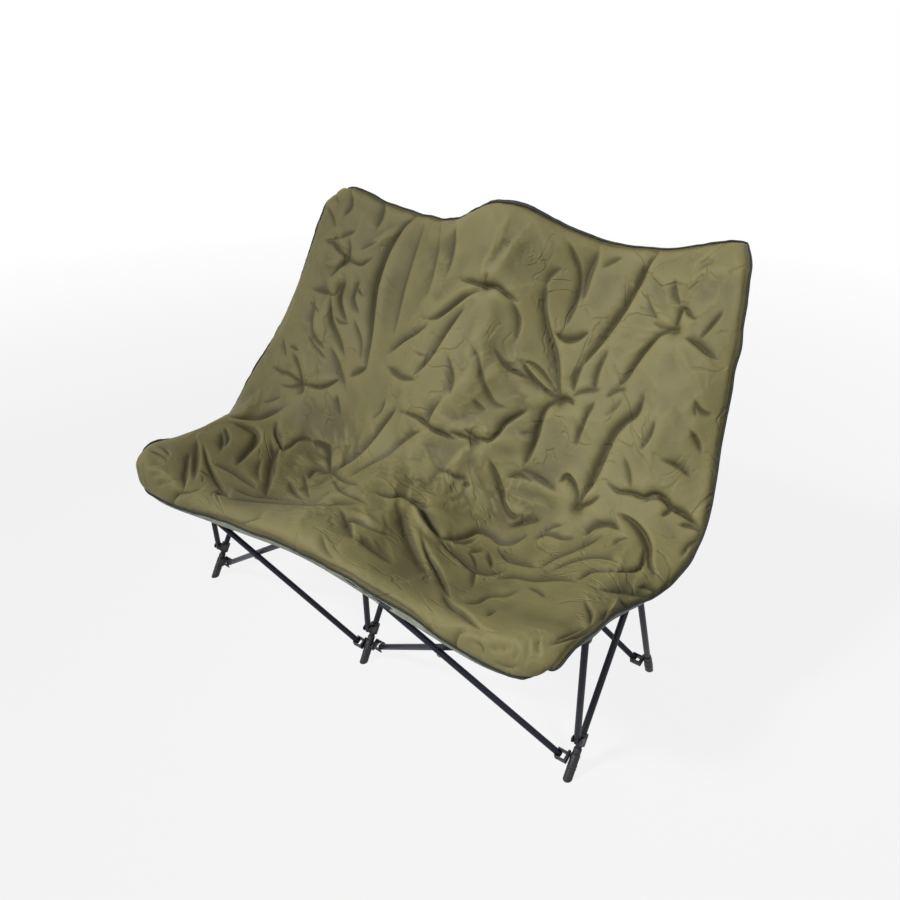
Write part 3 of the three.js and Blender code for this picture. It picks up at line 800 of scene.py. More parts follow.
def painted_tube():
    """Dark paint on steel, with faint paler scuffs."""
    base = tuple(settings().colours.tube)
    paint = Paint("painted_tube")
    place = paint.object_coords()
    speckle = paint.noise(place, scale=1400, detail=2)
    drift = paint.noise(place, scale=9, detail=4)
    scuff = paint.noise(paint.object_coords((1, 1, 0.2)), scale=60, detail=5, roughness=0.7)
    worn = paint.ramp(scuff, ((0.66, (0, 0, 0)), (0.78, (1, 1, 1))))
    colour = paint.node(
        "Mix",
        output=2,
        data_type="RGBA",
        inputs={0: worn * 0.35, 6: base, 7: shade(base, 2.6)},
    )
    return paint.done(
        Base_Color=colour,
        Roughness=0.40 + drift * 0.14,
        Specular_IOR_Level=0.3,
        Normal=paint.bump(speckle, distance=0.00008, strength=0.3),
    )


def moulded_plastic():
    """Black plastic with a fine moulded grain."""
    paint = Paint("moulded_black")
    place = paint.object_coords()
    grain = paint.noise(place, scale=700)
    drift = paint.noise(place, scale=22)
    return paint.done(
        Base_Color=paint.mottled(drift, settings().colours.plastic, 0.8, 1.6),
        Roughness=0.42 + drift * 0.16,
        Normal=paint.bump(grain, distance=0.00015, strength=0.4),
    )


def pin_steel():
    """Steel with patches of tarnish."""
    colours = settings().colours
    paint = Paint("pin_steel")
    brushed = paint.noise(paint.object_coords((1, 1, 12)), scale=240)
    tarnish = paint.noise(paint.object_coords(), scale=90)
    stops = ((0.3, tuple(colours.dark_pin)), (0.7, tuple(colours.bright_pin)))
    return paint.done(
        Base_Color=paint.ramp(tarnish, stops),
        Roughness=0.28 + brushed * 0.2,
        Metallic=1.0,
        Normal=paint.bump(brushed, distance=0.00005, strength=0.3),
    )


MATERIALS = {}


def finish_of(key):
    colours = settings().colours
    makers = {
        "face": face_cloth,
        "backing": lambda: dark_cloth("dark_backing_cloth", tuple(colours.backing)),
        "pocket": lambda: dark_cloth("dark_pocket_cloth", shade(colours.backing, 0.8), 700),
        "piping": lambda: piping_cloth("edge_piping", tuple(colours.piping)),
        # The hem's paleness is partly painted sheen and light from the floor.
        "hem": lambda: piping_cloth("pale_hem_with_painted_sheen", tuple(colours.hem)),
        "tube": painted_tube,
        "plastic": moulded_plastic,
        "steel": pin_steel,
    }
    if key not in MATERIALS:
        MATERIALS[key] = makers[key]()
    return MATERIALS[key]


# Mesh helpers
SHARP_ANGLE = math.radians(35)
SQUARE_WITHIN = 0.05
PIN_SIDES = 16
ROD_CHAMFER = 0.0012
PIN_CHAMFER = 0.0004
SLEEVE_CHAMFER = 0.0008
PLATE_CHAMFER = 0.001


def linked(name, data):
    """A new object in the scene for a mesh, a curve, a lamp or a camera."""
    made = bpy.data.objects.new(name, data)
    bpy.context.scene.collection.objects.link(made)
    return made


def mesh_of(bm, name):
    """The mesh of a bmesh, which is freed."""
    mesh = bpy.data.meshes.new(name)
    bm.to_mesh(mesh)
    bm.free()
    return mesh


def add_shape(bm, part):
    """Adds the shape of another bmesh, which is freed."""
    mesh = mesh_of(part, "added_shape")
    bm.from_mesh(mesh)
    bpy.data.meshes.remove(mesh)


def node_body(node):
    return frame["nodes"][node]["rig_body"]


def frame_piece(bm, node, finish):
    """Makes a bmesh the piece that replaces a CAD node and rides the node's body."""
    for face in bm.faces:
        face.smooth = True
    mesh = mesh_of(bm, node + "_made")
    mesh.set_sharp_from_angle(angle=SHARP_ANGLE)
    mesh.materials.append(finish_of(finish))
    made = linked(node + "_made", mesh)
    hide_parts(node)
    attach(made, node_body(node))


def facing(direction, axis="Z"):
    """A turn that points an axis along a direction."""
    return direction.to_track_quat(axis, "Y")


def aim(start, end):
    """A matrix at the middle of two points whose Z runs from start to end, and their distance."""
    run = end - start
    return Matrix.Translation((start + end) / 2) @ facing(run).to_matrix().to_4x4(), run.length


def soften(bm, geom, offset, affect="EDGES"):
    """Rounds edges or corners in two steps."""
    bmesh.ops.bevel(
        bm,
        geom=geom,
        offset=offset,
        offset_type="OFFSET",
        segments=2,
        profile=0.5,
        affect=affect,
        material=-1,
    )


def add_rod(bm, start, end, radius, sides, chamfer=ROD_CHAMFER):
    """A round bar with bevelled ends."""
    place, length = aim(start, end)
    made = bmesh.ops.create_cone(
        bm,
        cap_ends=True,
        segments=sides,
        radius1=radius,
        radius2=radius,
        depth=length,
        matrix=place,
    )
    caps = {f for v in made["verts"] for f in v.link_faces if len(f.verts) == sides}
    soften(bm, list({e for f in caps for e in f.edges}), chamfer)


def add_pin(bm, start, end, radius, chamfer=PIN_CHAMFER):
    """A thin round bar."""
    add_rod(bm, start, end, radius, PIN_SIDES, chamfer)


def add_sleeve(bm, start, end, outer, inner, sides, chamfer=SLEEVE_CHAMFER):
    """A hollow ring spun from a rectangle whose outer corners are rounded."""
    place, length = aim(start, end)
    half = length / 2
    ring = bmesh.new()
    corners = ((inner, -half), (outer, -half), (outer, half), (inner, half))
    verts = [ring.verts.new((r, 0, z)) for r, z in corners]
    ring.faces.new(verts)
    soften(ring, verts[1:3], chamfer, affect="VERTICES")
    bmesh.ops.delete(ring, geom=list(ring.faces), context="FACES_ONLY")
    bmesh.ops.spin(
        ring,
        geom=list(ring.verts) + list(ring.edges),
        cent=(0, 0, 0),
        axis=(0, 0, 1),
        angle=2 * math.pi,
        steps=sides,
        use_merge=True,
    )
    bmesh.ops.recalc_face_normals(ring, faces=ring.faces)
    bmesh.ops.transform(ring, matrix=place, verts=ring.verts)
    add_shape(bm, ring)


def add_plate(bm, first, second, radius, x0, x1, sides=24):
    """A plate with round ends round two points of the YZ plane."""
    verts = []
    sideways = Matrix.Rotation(math.pi / 2, 4, "Y")
    for centre in (first, second):
        for x in (x0, x1):
            place = Matrix.Translation((x, *centre)) @ sideways
            circle = bmesh.ops.create_circle(
                bm, cap_ends=False, radius=radius, segments=sides, matrix=place
            )
            verts += circle["verts"]
    hull = bmesh.ops.convex_hull(bm, input=verts)
    inner = [g for g in hull["geom_interior"] if isinstance(g, bmesh.types.BMVert)]
    if inner:
        bmesh.ops.delete(bm, geom=inner, context="VERTS")
    faces = [g for g in hull["geom"] if isinstance(g, bmesh.types.BMFace) and g.is_valid]
    live = list({v for v in verts if v.is_valid})
    bmesh.ops.dissolve_limit(
        bm,
        angle_limit=math.radians(1),
        verts=live,
        edges=list({e for f in faces for e in f.edges}),
    )
    edges = {e for v in live if v.is_valid for e in v.link_edges if len(e.link_faces) == 2}
    square = math.pi / 2
    rims = [e for e in edges if abs(abs(e.calc_face_angle(0)) - square) < SQUARE_WITHIN]
    soften(bm, rims, PLATE_CHAMFER)


def add_block(bm, place, low, high, chamfer):
    """A box between two corners of a turned frame, with bevelled edges."""
    size = [b - a for a, b in zip(low, high)]
    middle = [(a + b) / 2 for a, b in zip(low, high)]
    matrix = place @ Matrix.Translation(middle) @ Matrix.Diagonal((*size, 1))
    made = bmesh.ops.create_cube(bm, size=1, matrix=matrix)
    soften(bm, list({e for v in made["verts"] for e in v.link_edges}), chamfer)


def add_dome(bm, centre, direction, radius, height, sides=20):
    """A low round rivet head."""
    made = bmesh.ops.create_uvsphere(
        bm, u_segments=sides, v_segments=sides // 2, radius=radius, matrix=Matrix.Identity(4)
    )
    turn = facing(direction).to_matrix().to_4x4()
    squash = Matrix.Diagonal((1, 1, height / radius, 1))
    bmesh.ops.transform(
        bm, matrix=Matrix.Translation(centre) @ turn @ squash, verts=made["verts"]
    )


# Frame layout
class Layout:
    """Places of the frame's pivots, in metres, from the same sizes as the solids."""

    # Pivots as Y and Z: the front tubes' low pins, the hubs and the rear legs' tops. Then the Y of
    # the rear feet, of the rear tubes' tops and of the posts' tops.
    low = (0.0215, 0.036)
    hub = (-0.115, 0.386)
    leg_pivot = (0.232, 0.312)
    rear_foot = 0.366
    rear_top_y = 0.258
    post_top_y = 0.014

    # The rail's pivot and the post's low pin stand this far in front of the pole, and the pin this
    # far up it.
    reach = 0.030
    slider_reach = 0.022
    slider = 0.081

    # Tubes: how far up their boots they start, how far they run past a pivot, and their play in
    # what holds them.
    inset = 0.014
    overrun = 0.006
    play = 0.0005
    snug_play = 0.0003

    # Poles: where their tops start to bend inwards, and by how much.
    bend_start = 0.720
    bend_inward = 0.045
    bend_steps = 8

    # Boots: radius, whole and wide length, the step between the two, the ribs' places, height and
    # rise, and the stub that carries a knuckle. They start below the floor, where they are cut.
    boot = 0.009
    boot_length = 0.062
    boot_wide_length = 0.050
    boot_step = 0.0009
    boot_overlap = 0.001
    boot_below = 0.03
    ribs = (0.020, 0.026)
    rib_height = 0.003
    rib_rise = 0.0005
    rib_chamfer = 0.0006
    stub = 0.003
    stub_chamfer = 0.0005

    # Sleeves on the poles: half length and how far they stand off the tube.
    sleeve_half = 0.012
    sleeve_rise = 0.0041

    # Cheeks beside a pivot: from and to this far off the middle, their round end's radius, the pins
    # and rivet heads, and how far pins stop short of the outside.
    cheek_in = 0.007
    cheek_out = 0.010
    cheek = 0.0075
    pin = 0.0025
    pin_short = 0.0005
    head = 0.005
    head_height = 0.0018

    # The post's fork: its length, how far its root reaches down the tube, and how far it stops
    # short of the rail's axis.
    fork_length = 0.038
    fork_root = 0.010
    fork_short = 0.004

    # Hubs: radius, half width where tubes cross on both sides, and how far they hold the rail.
    hub_radius = 0.011
    hub_half = 0.016
    hub_hold = 0.040
    hub_chamfer = 0.002

    # Upper sleeves: the arm's radius is a little less than a hub's, and so is its bevel.
    arm_less = 0.0005
    arm_overlap = 0.001
    arm_plate_less = 0.0002
    arm_chamfer = 0.0015

    # Crossed tubes: how far from a frame they turn, how far from the pair's plane they lie, how
    # much shorter than the pivots' distance they are, and how far past the low pin they start.
    cross_offset = 0.030
    cross_layer = 0.0072
    cross_short = 0.010
    cross_past = 0.004
    cross_chamfer = 0.0018

    # Knuckles: where they start beside a frame, their wall, half height and cheeks, and how much
    # less than their half height the cheeks reach past the pin.
    knuckle_start = 0.0105
    knuckle_wall = 0.005
    knuckle_half = 0.0075
    knuckle_cheek = 0.003
    knuckle_cheek_chamfer = 0.0011
    knuckle_short = 0.002

    # Pockets: wall, how far down the pole they reach, how far below its top the sleeve ends and
    # the cap starts, how far the cap stands over it, and the bevels of both.
    pocket_wall = 0.0054
    pocket_length = 0.06
    pocket_sleeve_end = 0.004
    pocket_cap_start = 0.006
    pocket_cap_rise = 0.0057
    pocket_chamfer = 0.0015
    pocket_cap_chamfer = 0.004

    def __init__(self):
        size = settings().frame
        self.bay = size.bay_width
        self.tube = size.tube_radius
        self.pole_length = size.pole_length
        self.leans = {"left": size.side_lean, "middle": size.middle_lean, "right": size.side_lean}
        self.sides = size.tube_sides
        self.sleeve = self.tube + self.sleeve_rise
        run = (self.rear_foot - self.leg_pivot[0], self.leg_pivot[1])
        self.leg_length = math.hypot(*run)
        self.leg_dir = (-run[0] / self.leg_length, run[1] / self.leg_length)
        self.rear_low = self.on_leg(self.low[1] / self.leg_dir[1])
        self.height = math.dist(self.hub, self.low)
        self.span = self.bay - 2 * self.cross_offset
        self.cross_length = math.hypot(self.span, self.height)
        rise = math.sqrt(self.height**2 - (self.rear_top_y - self.rear_low[0]) ** 2)
        self.rear_top = (self.rear_top_y, self.rear_low[1] + rise)

    def on_leg(self, distance):
        return (self.rear_foot + self.leg_dir[0] * distance, self.leg_dir[1] * distance)

    def beside(self, name, along, forward=0.0):
        lean = self.leans[name]
        return (
            along * math.sin(lean) - forward * math.cos(lean),
            along * math.cos(lean) + forward * math.sin(lean),
        )

    def along(self, name, point):
        lean = self.leans[name]
        return point[0] * math.sin(lean) + point[1] * math.cos(lean)

    def x(self, name):
        return SIDES[name] * self.bay

    def at(self, name, point):
        return Vector((self.x(name), *point))

    def rail_pivot(self, name):
        lean = self.leans[name]
        along = (self.hub[1] - self.reach * math.sin(lean)) / math.cos(lean)
        return self.beside(name, along, self.reach)


def towards(start, end, distance):
    """The place at a distance from start towards end, and not past it."""
    share = min(1.0, distance / math.dist(start, end))
    return tuple(a + (b - a) * share for a, b in zip(start, end))


def pole_path(layout, name):
    points = [layout.at(name, layout.beside(name, layout.inset))]
    for i in range(layout.bend_steps + 1):
        share = i / layout.bend_steps
        along = layout.bend_start + share * (layout.pole_length - layout.bend_start)
        point = layout.at(name, layout.beside(name, along))
        point.x -= SIDES[name] * layout.bend_inward * share**1.5
        points.append(point)
    return points


def add_swept(bm, points, radius, sides):
    """A round bar along a gently bending run of points."""
    direction = (points[1] - points[0]).normalized()
    place = Matrix.Translation(points[0]) @ facing(direction).to_matrix().to_4x4()
    made = bmesh.ops.create_circle(
        bm, cap_ends=True, radius=radius, segments=sides, matrix=place
    )
    face = made["verts"][0].link_faces[0]
    for i in range(1, len(points)):
        result = bmesh.ops.extrude_face_region(bm, geom=[face])
        new_face = next(g for g in result["geom"] if isinstance(g, bmesh.types.BMFace))
        if i > 1:
            bmesh.ops.delete(bm, geom=[face], context="FACES_ONLY")
        face = new_face
        bmesh.ops.translate(bm, verts=face.verts, vec=points[i] - points[i - 1])
        ahead = (points[min(i + 1, len(points) - 1)] - points[i - 1]).normalized()
        turn = direction.rotation_difference(ahead).to_matrix().to_4x4()
        about = Matrix.Translation(points[i]) @ turn @ Matrix.Translation(-points[i])
        bmesh.ops.transform(bm, matrix=about, verts=face.verts)
        direction = ahead


def add_cheeks(bm, layout, x, first, second, pivot):
    """Two plates on either side of a pivot, each with a rivet head outside."""
    for side in (-1, 1):
        ends = sorted((x + side * layout.cheek_in, x + side * layout.cheek_out))
        add_plate(bm, first, second, layout.cheek, *ends)
        knob = Vector((x + side * layout.cheek_out, *pivot))
        add_dome(bm, knob, Vector((side, 0, 0)), layout.head, layout.head_height)


# Operators
class LOVESEAT_OT_stage(bpy.types.Operator):
    """Sets the camera, the pale floor and the soft lights."""

    bl_idname = "loveseat.stage"
    bl_label = "Stage"

    def execute(self, context):
        context.scene.view_settings.view_transform = "Standard"
        self.camera(context.scene)
        self.floor()
        self.world(context.scene)
        for name, lamp in LAMPS.items():
            self.lamp(name, *lamp)
        return {"FINISHED"}

    def camera(self, scene):
        camera = bpy.data.cameras.new("photo_camera")
        camera.sensor_width = SENSOR
        camera.lens = PHOTO_LENS
        camera.clip_end = FURTHEST_SEEN
        holder = linked("photo_camera", camera)
        holder.location = PHOTO_PLACE
        holder.rotation_euler = PHOTO_TURN
        scene.camera = holder

    def floor(self):
        """A grey floor that keeps the object's shadow and looks white to the camera."""
        bm = bmesh.new()
        bmesh.ops.create_grid(bm, x_segments=1, y_segments=1, size=FLOOR_HALF_WIDTH)
        mesh = mesh_of(bm, "floor")
        floor = linked("floor", mesh)
        floor.location = (0, 0, -FLOOR_DEPTH)
        paint = Paint("pale_floor")
        links = paint.tree.links
        ray = paint.tree.nodes.new("ShaderNodeLightPath")
        seen = Wire(paint, ray.outputs["Is Camera Ray"]) + Wire(paint, ray.outputs["Is Glossy Ray"])
        place = paint.object_coords()
        away = paint.node("VectorMath", output="Value", operation="LENGTH", inputs={0: place})
        far = ((away - FLOOR_FADE_START) * FLOOR_FADE_RATE).clamp()
        tint = paint.noise(place, scale=0.6, detail=2)
        greys = [(at, (grey,) * 3) for at, grey in enumerate(FLOOR_GREYS)]
        paint.done(Base_Color=paint.ramp(tint, greys), Roughness=0.9)
        glow = paint.tree.nodes.new("ShaderNodeEmission")
        glow.inputs["Strength"].default_value = 1.0
        mix = paint.tree.nodes.new("ShaderNodeMixShader")
        white = seen.clamp() * (FLOOR_WHITE + far * (1 - FLOOR_WHITE))
        paint.feed(mix.inputs[0], white.clamp())
        links.new(paint.shader.outputs[0], mix.inputs[1])
        links.new(glow.outputs[0], mix.inputs[2])
        out = next(n for n in paint.tree.nodes if n.type == "OUTPUT_MATERIAL")
        links.new(mix.outputs[0], out.inputs["Surface"])
        mesh.materials.append(paint.material)

    def world(self, scene):
        """A dim white world that looks fully white to the camera and in reflections."""
        world = bpy.data.worlds.new("studio")
        scene.world = world
        world.use_nodes = True
        tree = world.node_tree
        background = tree.nodes["Background"]
        background.inputs["Color"].default_value = (1, 1, 1, 1)
        path = tree.nodes.new("ShaderNodeLightPath")
        white = tree.nodes.new("ShaderNodeMath")
        white.operation = "MAXIMUM"
        tree.links.new(path.outputs["Is Camera Ray"], white.inputs[0])
        tree.links.new(path.outputs["Is Glossy Ray"], white.inputs[1])
        level = tree.nodes.new("ShaderNodeMapRange")
        level.inputs["To Min"].default_value = WORLD_LIGHT
        level.inputs["To Max"].default_value = 1.0
        tree.links.new(white.outputs[0], level.inputs["Value"])
        tree.links.new(level.outputs[0], background.inputs["Strength"])

    def lamp(self, name, place, target, size, power, spread):
        lamp = bpy.data.lights.new(name, "AREA")
        lamp.size = size
        lamp.spread = math.radians(spread)
        lamp.energy = power
        holder = linked(name, lamp)
        holder.location = place
        holder.rotation_euler = facing(Vector(target) - Vector(place), "-Z").to_euler()


class LOVESEAT_OT_poles(bpy.types.Operator):
    """Makes the long poles, rear legs, rails and posts."""

    bl_idname = "loveseat.poles"
    bl_label = "Poles, legs, rails and posts"

    def execute(self, context):
        layout = Layout()
        for name in SIDES:
            self.pole(layout, name)
            self.leg_and_rail(layout, name)
            self.post(layout, name)
        return {"FINISHED"}

    def pole(self, layout, name):
        bm = bmesh.new()
        add_swept(bm, pole_path(layout, name), layout.tube, layout.sides)
        bmesh.ops.recalc_face_normals(bm, faces=bm.faces)
        frame_piece(bm, "pole_" + name, "tube")

    def leg_and_rail(self, layout, name):
        pivot = layout.rail_pivot(name)
        rail_end = layout.hub[0] + layout.hub_radius + layout.play
        leg = (layout.on_leg(layout.inset), layout.on_leg(layout.leg_length + layout.overrun))
        rail = ((pivot[0] + layout.overrun, pivot[1]), (rail_end, layout.hub[1]))
        for node, (start, end) in (("rear_leg_", leg), ("rail_", rail)):
            bm = bmesh.new()
            add_rod(bm, layout.at(name, start), layout.at(name, end), layout.tube, layout.sides)
            frame_piece(bm, node + name, "tube")

    def post(self, layout, name):
        x = layout.x(name)
        low = layout.at(name, layout.beside(name, layout.slider, layout.slider_reach))
        top = layout.at(name, (layout.post_top_y, layout.hub[1]))
        run = (top - low).normalized()
        head = top - run * layout.fork_length
        root = head - run * layout.fork_root
        tip = top - run * layout.fork_short
        bm = bmesh.new()
        add_rod(bm, low - run * layout.overrun, head, layout.tube, layout.sides)
        add_plate(bm, root.yz, head.yz, layout.cheek, x - layout.cheek_out, x + layout.cheek_out)
        add_cheeks(bm, layout, x, head.yz, tip.yz, (top.y, top.z - layout.fork_short))
        frame_piece(bm, "post_" + name, "tube")


class LOVESEAT_OT_joints(bpy.types.Operator):
    """Makes the feet, sliders, brackets, hubs and upper sleeves."""

    bl_idname = "loveseat.joints"
    bl_label = "Moulded joints"

    def execute(self, context):
        layout = Layout()
        for name in SIDES:
            front_run = layout.beside(name, 1.0)
            self.foot(layout, name, "front_foot_", 0.0, front_run, layout.low)
            self.foot(
                layout, name, "rear_foot_", layout.rear_foot, layout.leg_dir, layout.rear_low
            )
            slider = layout.beside(name, layout.slider, layout.slider_reach)
            self.bracket(layout, name, "slider_", slider)
            self.bracket(layout, name, "rail_bracket_", layout.rail_pivot(name))
            self.bracket(layout, name, "leg_bracket_", layout.leg_pivot)
            self.hub(layout, name)
            self.upper_sleeve(layout, name)
        return {"FINISHED"}

    def foot(self, layout, name, node, foot_y, direction, joint):
        bm = bmesh.new()
        x = layout.x(name)
        run = Vector((0, *direction))
        base = Vector((x, foot_y, 0))
        wide = layout.boot_wide_length
        thin = layout.boot - layout.boot_step
        stages = [
            (-layout.boot_below, wide, layout.boot, ROD_CHAMFER),
            (wide - layout.boot_overlap, layout.boot_length, thin, ROD_CHAMFER),
        ]
        for rib in layout.ribs:
            radius = layout.boot + layout.rib_rise
            stages.append((rib, rib + layout.rib_height, radius, layout.rib_chamfer))
        for start, end, radius, chamfer in stages:
            add_rod(bm, base + run * start, base + run * end, radius, layout.sides, chamfer)
        cut = bmesh.ops.bisect_plane(
            bm,
            geom=list(bm.verts) + list(bm.edges) + list(bm.faces),
            plane_co=(0, 0, 0),
            plane_no=(0, 0, 1),
            clear_inner=True,
        )
        edges = [g for g in cut["geom_cut"] if isinstance(g, bmesh.types.BMEdge)]
        bmesh.ops.edgeloop_fill(bm, edges=edges)
        reach = layout.knuckle_start + layout.knuckle_wall - layout.pin_short
        for side in (-1, 1) if name == "middle" else (-SIDES[name],):
            start = Vector((x + side * layout.tube, *joint))
            end = Vector((x + side * reach, *joint))
            add_pin(bm, start, end, layout.stub, layout.stub_chamfer)
        frame_piece(bm, node + name, "plastic")

    def sleeve(self, bm, layout, name, along):
        start = layout.at(name, layout.beside(name, along - layout.sleeve_half))
        end = layout.at(name, layout.beside(name, along + layout.sleeve_half))
        add_sleeve(bm, start, end, layout.sleeve, layout.tube + layout.play, layout.sides)

    def bracket(self, layout, name, node, pivot):
        bm = bmesh.new()
        x = layout.x(name)
        along = layout.along(name, pivot)
        self.sleeve(bm, layout, name, along)
        root = towards(layout.beside(name, along), pivot, layout.sleeve)
        add_cheeks(bm, layout, x, root, pivot, pivot)
        pin = layout.cheek_out - 2 * layout.pin_short
        add_pin(bm, Vector((x - pin, *pivot)), Vector((x + pin, *pivot)), layout.pin)
        frame_piece(bm, node + name, "plastic")

    def hub(self, layout, name):
        bm = bmesh.new()
        x = layout.x(name)
        side = SIDES[name]
        radius = layout.hub_radius
        left = Vector((x - (radius if side < 0 else layout.hub_half), *layout.hub))
        right = Vector((x + (radius if side > 0 else layout.hub_half), *layout.hub))
        add_rod(bm, left, right, radius, layout.sides, layout.hub_chamfer)
        start = layout.at(name, (layout.hub[0] + radius / 2, layout.hub[1]))
        end = layout.at(name, (layout.hub[0] + layout.hub_hold, layout.hub[1]))
        add_sleeve(bm, start, end, radius, layout.tube + layout.snug_play, layout.sides)
        frame_piece(bm, "tip_hub_" + name, "plastic")

    def upper_sleeve(self, layout, name):
        bm = bmesh.new()
        x = layout.x(name)
        top = layout.rear_top
        along = layout.along(name, top)
        self.sleeve(bm, layout, name, along)
        arm = layout.hub_radius - layout.arm_less
        near = layout.tube + layout.arm_overlap + arm
        root = towards(layout.beside(name, along), top, near)
        half = layout.tube - layout.arm_plate_less
        add_plate(bm, root, top, arm, x - half, x + half)
        left = Vector((x - layout.hub_half, *top))
        right = Vector((x + layout.hub_half, *top))
        add_rod(bm, left, right, arm, layout.sides, layout.arm_chamfer)
        frame_piece(bm, "upper_sleeve_" + name, "plastic")


class LOVESEAT_OT_crossed_tubes(bpy.types.Operator):
    """Makes the front and rear crossed tubes with their knuckles and rivets."""

    bl_idname = "loveseat.crossed_tubes"
    bl_label = "Crossed tubes"

    def execute(self, context):
        layout = Layout()
        for side, bay in ((-1, "left"), (1, "right")):
            self.pair(layout, "front", side, bay, layout.low, layout.hub)
            self.pair(layout, "rear", side, bay, layout.rear_low, layout.rear_top)
        return {"FINISHED"}

    def pair(self, layout, label, side, bay, joint, top):
        across = Vector((1, 0, 0))
        up = Vector((0, top[0] - joint[0], top[1] - joint[1])).normalized()
        out = across.cross(up)
        for part, frame_x, turn in (("a", 0.0, side), ("b", side * layout.bay, -side)):
            layer = -turn * layout.cross_layer
            anchor = Vector((frame_x, *joint))
            pivot = anchor + across * (turn * layout.cross_offset) + out * layer
            rise = layout.height / layout.cross_length
            run = layout.span / layout.cross_length
            direction = across * (turn * run) + up * rise
            far = layout.cross_length - layout.cross_short
            start, end = pivot - direction * layout.cross_past, pivot + direction * far
            bm = bmesh.new()
            add_rod(bm, start, end, layout.tube, layout.sides, layout.cross_chamfer)
            frame_piece(bm, f"{label}_tube_{part}_{bay}", "tube")

            bm = bmesh.new()
            place = Matrix.Translation(anchor) @ Matrix((across, up, out)).transposed().to_4x4()
            self.knuckle(bm, layout, place, turn, layer)
            outside = layout.tube + layout.play + layout.knuckle_cheek
            self.riveted(bm, layout, pivot, out, outside, layout.pin_short)
            frame_piece(bm, f"{label}_knuckle_{part}_{bay}", "plastic")

        middle = Vector(
            (side * layout.bay / 2, (joint[0] + top[0]) / 2, (joint[1] + top[1]) / 2)
        )
        bm = bmesh.new()
        outside = layout.cross_layer + layout.tube + layout.snug_play
        self.riveted(bm, layout, middle, out, outside, 0)
        frame_piece(bm, f"{label}_rivet_{bay}", "steel")

    def riveted(self, bm, layout, pivot, out, outside, short):
        """A pin through a pivot with a head at each end; a shorter pin has smaller heads."""
        add_pin(bm, pivot - out * (outside - short), pivot + out * (outside - short), layout.pin)
        for sign in (-1, 1):
            knob = pivot + out * (sign * outside)
            add_dome(bm, knob, out * sign, layout.head - short, layout.head_height)

    def knuckle(self, bm, layout, place, turn, layer):
        """A wall beside the frame and two cheeks that hold the tube's low end."""
        half = layout.knuckle_half
        thick = layout.knuckle_cheek
        start = layout.knuckle_start
        inner = layout.tube + layout.play
        reach = layout.cross_offset + half - layout.knuckle_short
        far = abs(layer) + inner + thick / 2
        wall = (-half, far) if layer > 0 else (-far, half)
        soft = layout.knuckle_cheek_chamfer
        blocks = (
            (start + layout.knuckle_wall, *wall, PLATE_CHAMFER),
            (reach, layer + inner, layer + inner + thick, soft),
            (reach, layer - inner - thick, layer - inner, soft),
        )
        for end, z0, z1, chamfer in blocks:
            x0, x1 = (start, end) if turn > 0 else (-end, -start)
            add_block(bm, place, (x0, -half, z0), (x1, half, z1), chamfer)


# The padded cover
CLOTH_SETTINGS = {
    "quality": 4,
    "mass": 0.12,
    "air_damping": 2.0,
    "tension_stiffness": 12,
    "compression_stiffness": 12,
    "shear_stiffness": 4,
    "bending_stiffness": 0.06,
    "tension_damping": 4,
    "compression_damping": 4,
    "shear_damping": 4,
    "bending_damping": 0.4,
    "use_pressure": True,
    "uniform_pressure_force": 1.2,
    "pin_stiffness": 1.0,
}


def falloff(distance, width):
    """A bell curve that is 1 where the distance is nothing."""
    return np.exp(-((distance / width) ** 2))


def unit(vectors):
    """The vectors at length 1."""
    return vectors / np.maximum(np.linalg.norm(vectors, axis=-1, keepdims=True), 1e-9)


def spline(points, t):
    """Centripetal Catmull-Rom through points (count, ..., 3), at shares t of the count."""
    points = np.asarray(points, float)
    count = len(points)
    first = 2 * points[:1] - points[1:2]
    last = 2 * points[-1:] - points[-2:-1]
    padded = np.concatenate([first, points, last])
    where = np.clip(np.asarray(t, float), 0, 1) * (count - 1)
    cell = np.minimum(where.astype(int), count - 2)
    share = (where - cell).reshape((-1,) + (1,) * (points.ndim - 1))
    p0, p1, p2, p3 = (padded[cell + k] for k in range(4))

    def gap(a, b):
        return np.maximum(np.linalg.norm(b - a, axis=-1, keepdims=True) ** 0.5, 1e-4)

    d0, d1, d2 = gap(p0, p1), gap(p1, p2), gap(p2, p3)
    t1 = ((p1 - p0) / d0 - (p2 - p0) / (d0 + d1) + (p2 - p1) / d1) * d1
    t2 = ((p2 - p1) / d1 - (p3 - p1) / (d1 + d2) + (p3 - p2) / d2) * d1
    c2 = -3 * p1 + 3 * p2 - 2 * t1 - t2
    c3 = 2 * p1 - 2 * p2 + t1 + t2
    return p1 + t1 * share + c2 * share**2 + c3 * share**3


def middle_surface(across, along):
    """Middle surface points (rows, columns, 3) in metres."""
    s = np.array(STATIONS, float) * MM
    zero = np.zeros(len(s))
    edge = np.array([settings().frame.bay_width, 0, 0])
    lines = [
        np.stack([zero, s[:, 0], s[:, 1]], 1),
        np.stack([zero + edge[0] / 2, s[:, 2], s[:, 3]], 1),
        s[:, 4:7] + edge,
        s[:, 7:10] + edge,
    ]
    flip = np.array([-1, 1, 1])
    row = [line * flip for line in lines[:0:-1]] + lines
    knots = np.stack([spline(line, along) for line in row])
    points = np.moveaxis(spline(knots, (np.asarray(across) + 1) / 2), 0, 1)
    for *place, shift in SWELLS + NUDGES:
        weight = bell(across, along, *place)
        points = points + weight[..., None] * np.array(shift) * MM
    return points


def bell(across, along, centre, run, wide, long):
    """A weight on the grid that falls off from 1 at one place, all in shares."""
    off_across = (np.asarray(across, float)[None, :] - centre) / wide
    off_along = (np.asarray(along, float)[:, None] - run) / long
    return np.exp(-(off_across**2) - off_along**2)


def grid_normals(points):
    return unit(np.cross(np.gradient(points, axis=0), np.gradient(points, axis=1)))


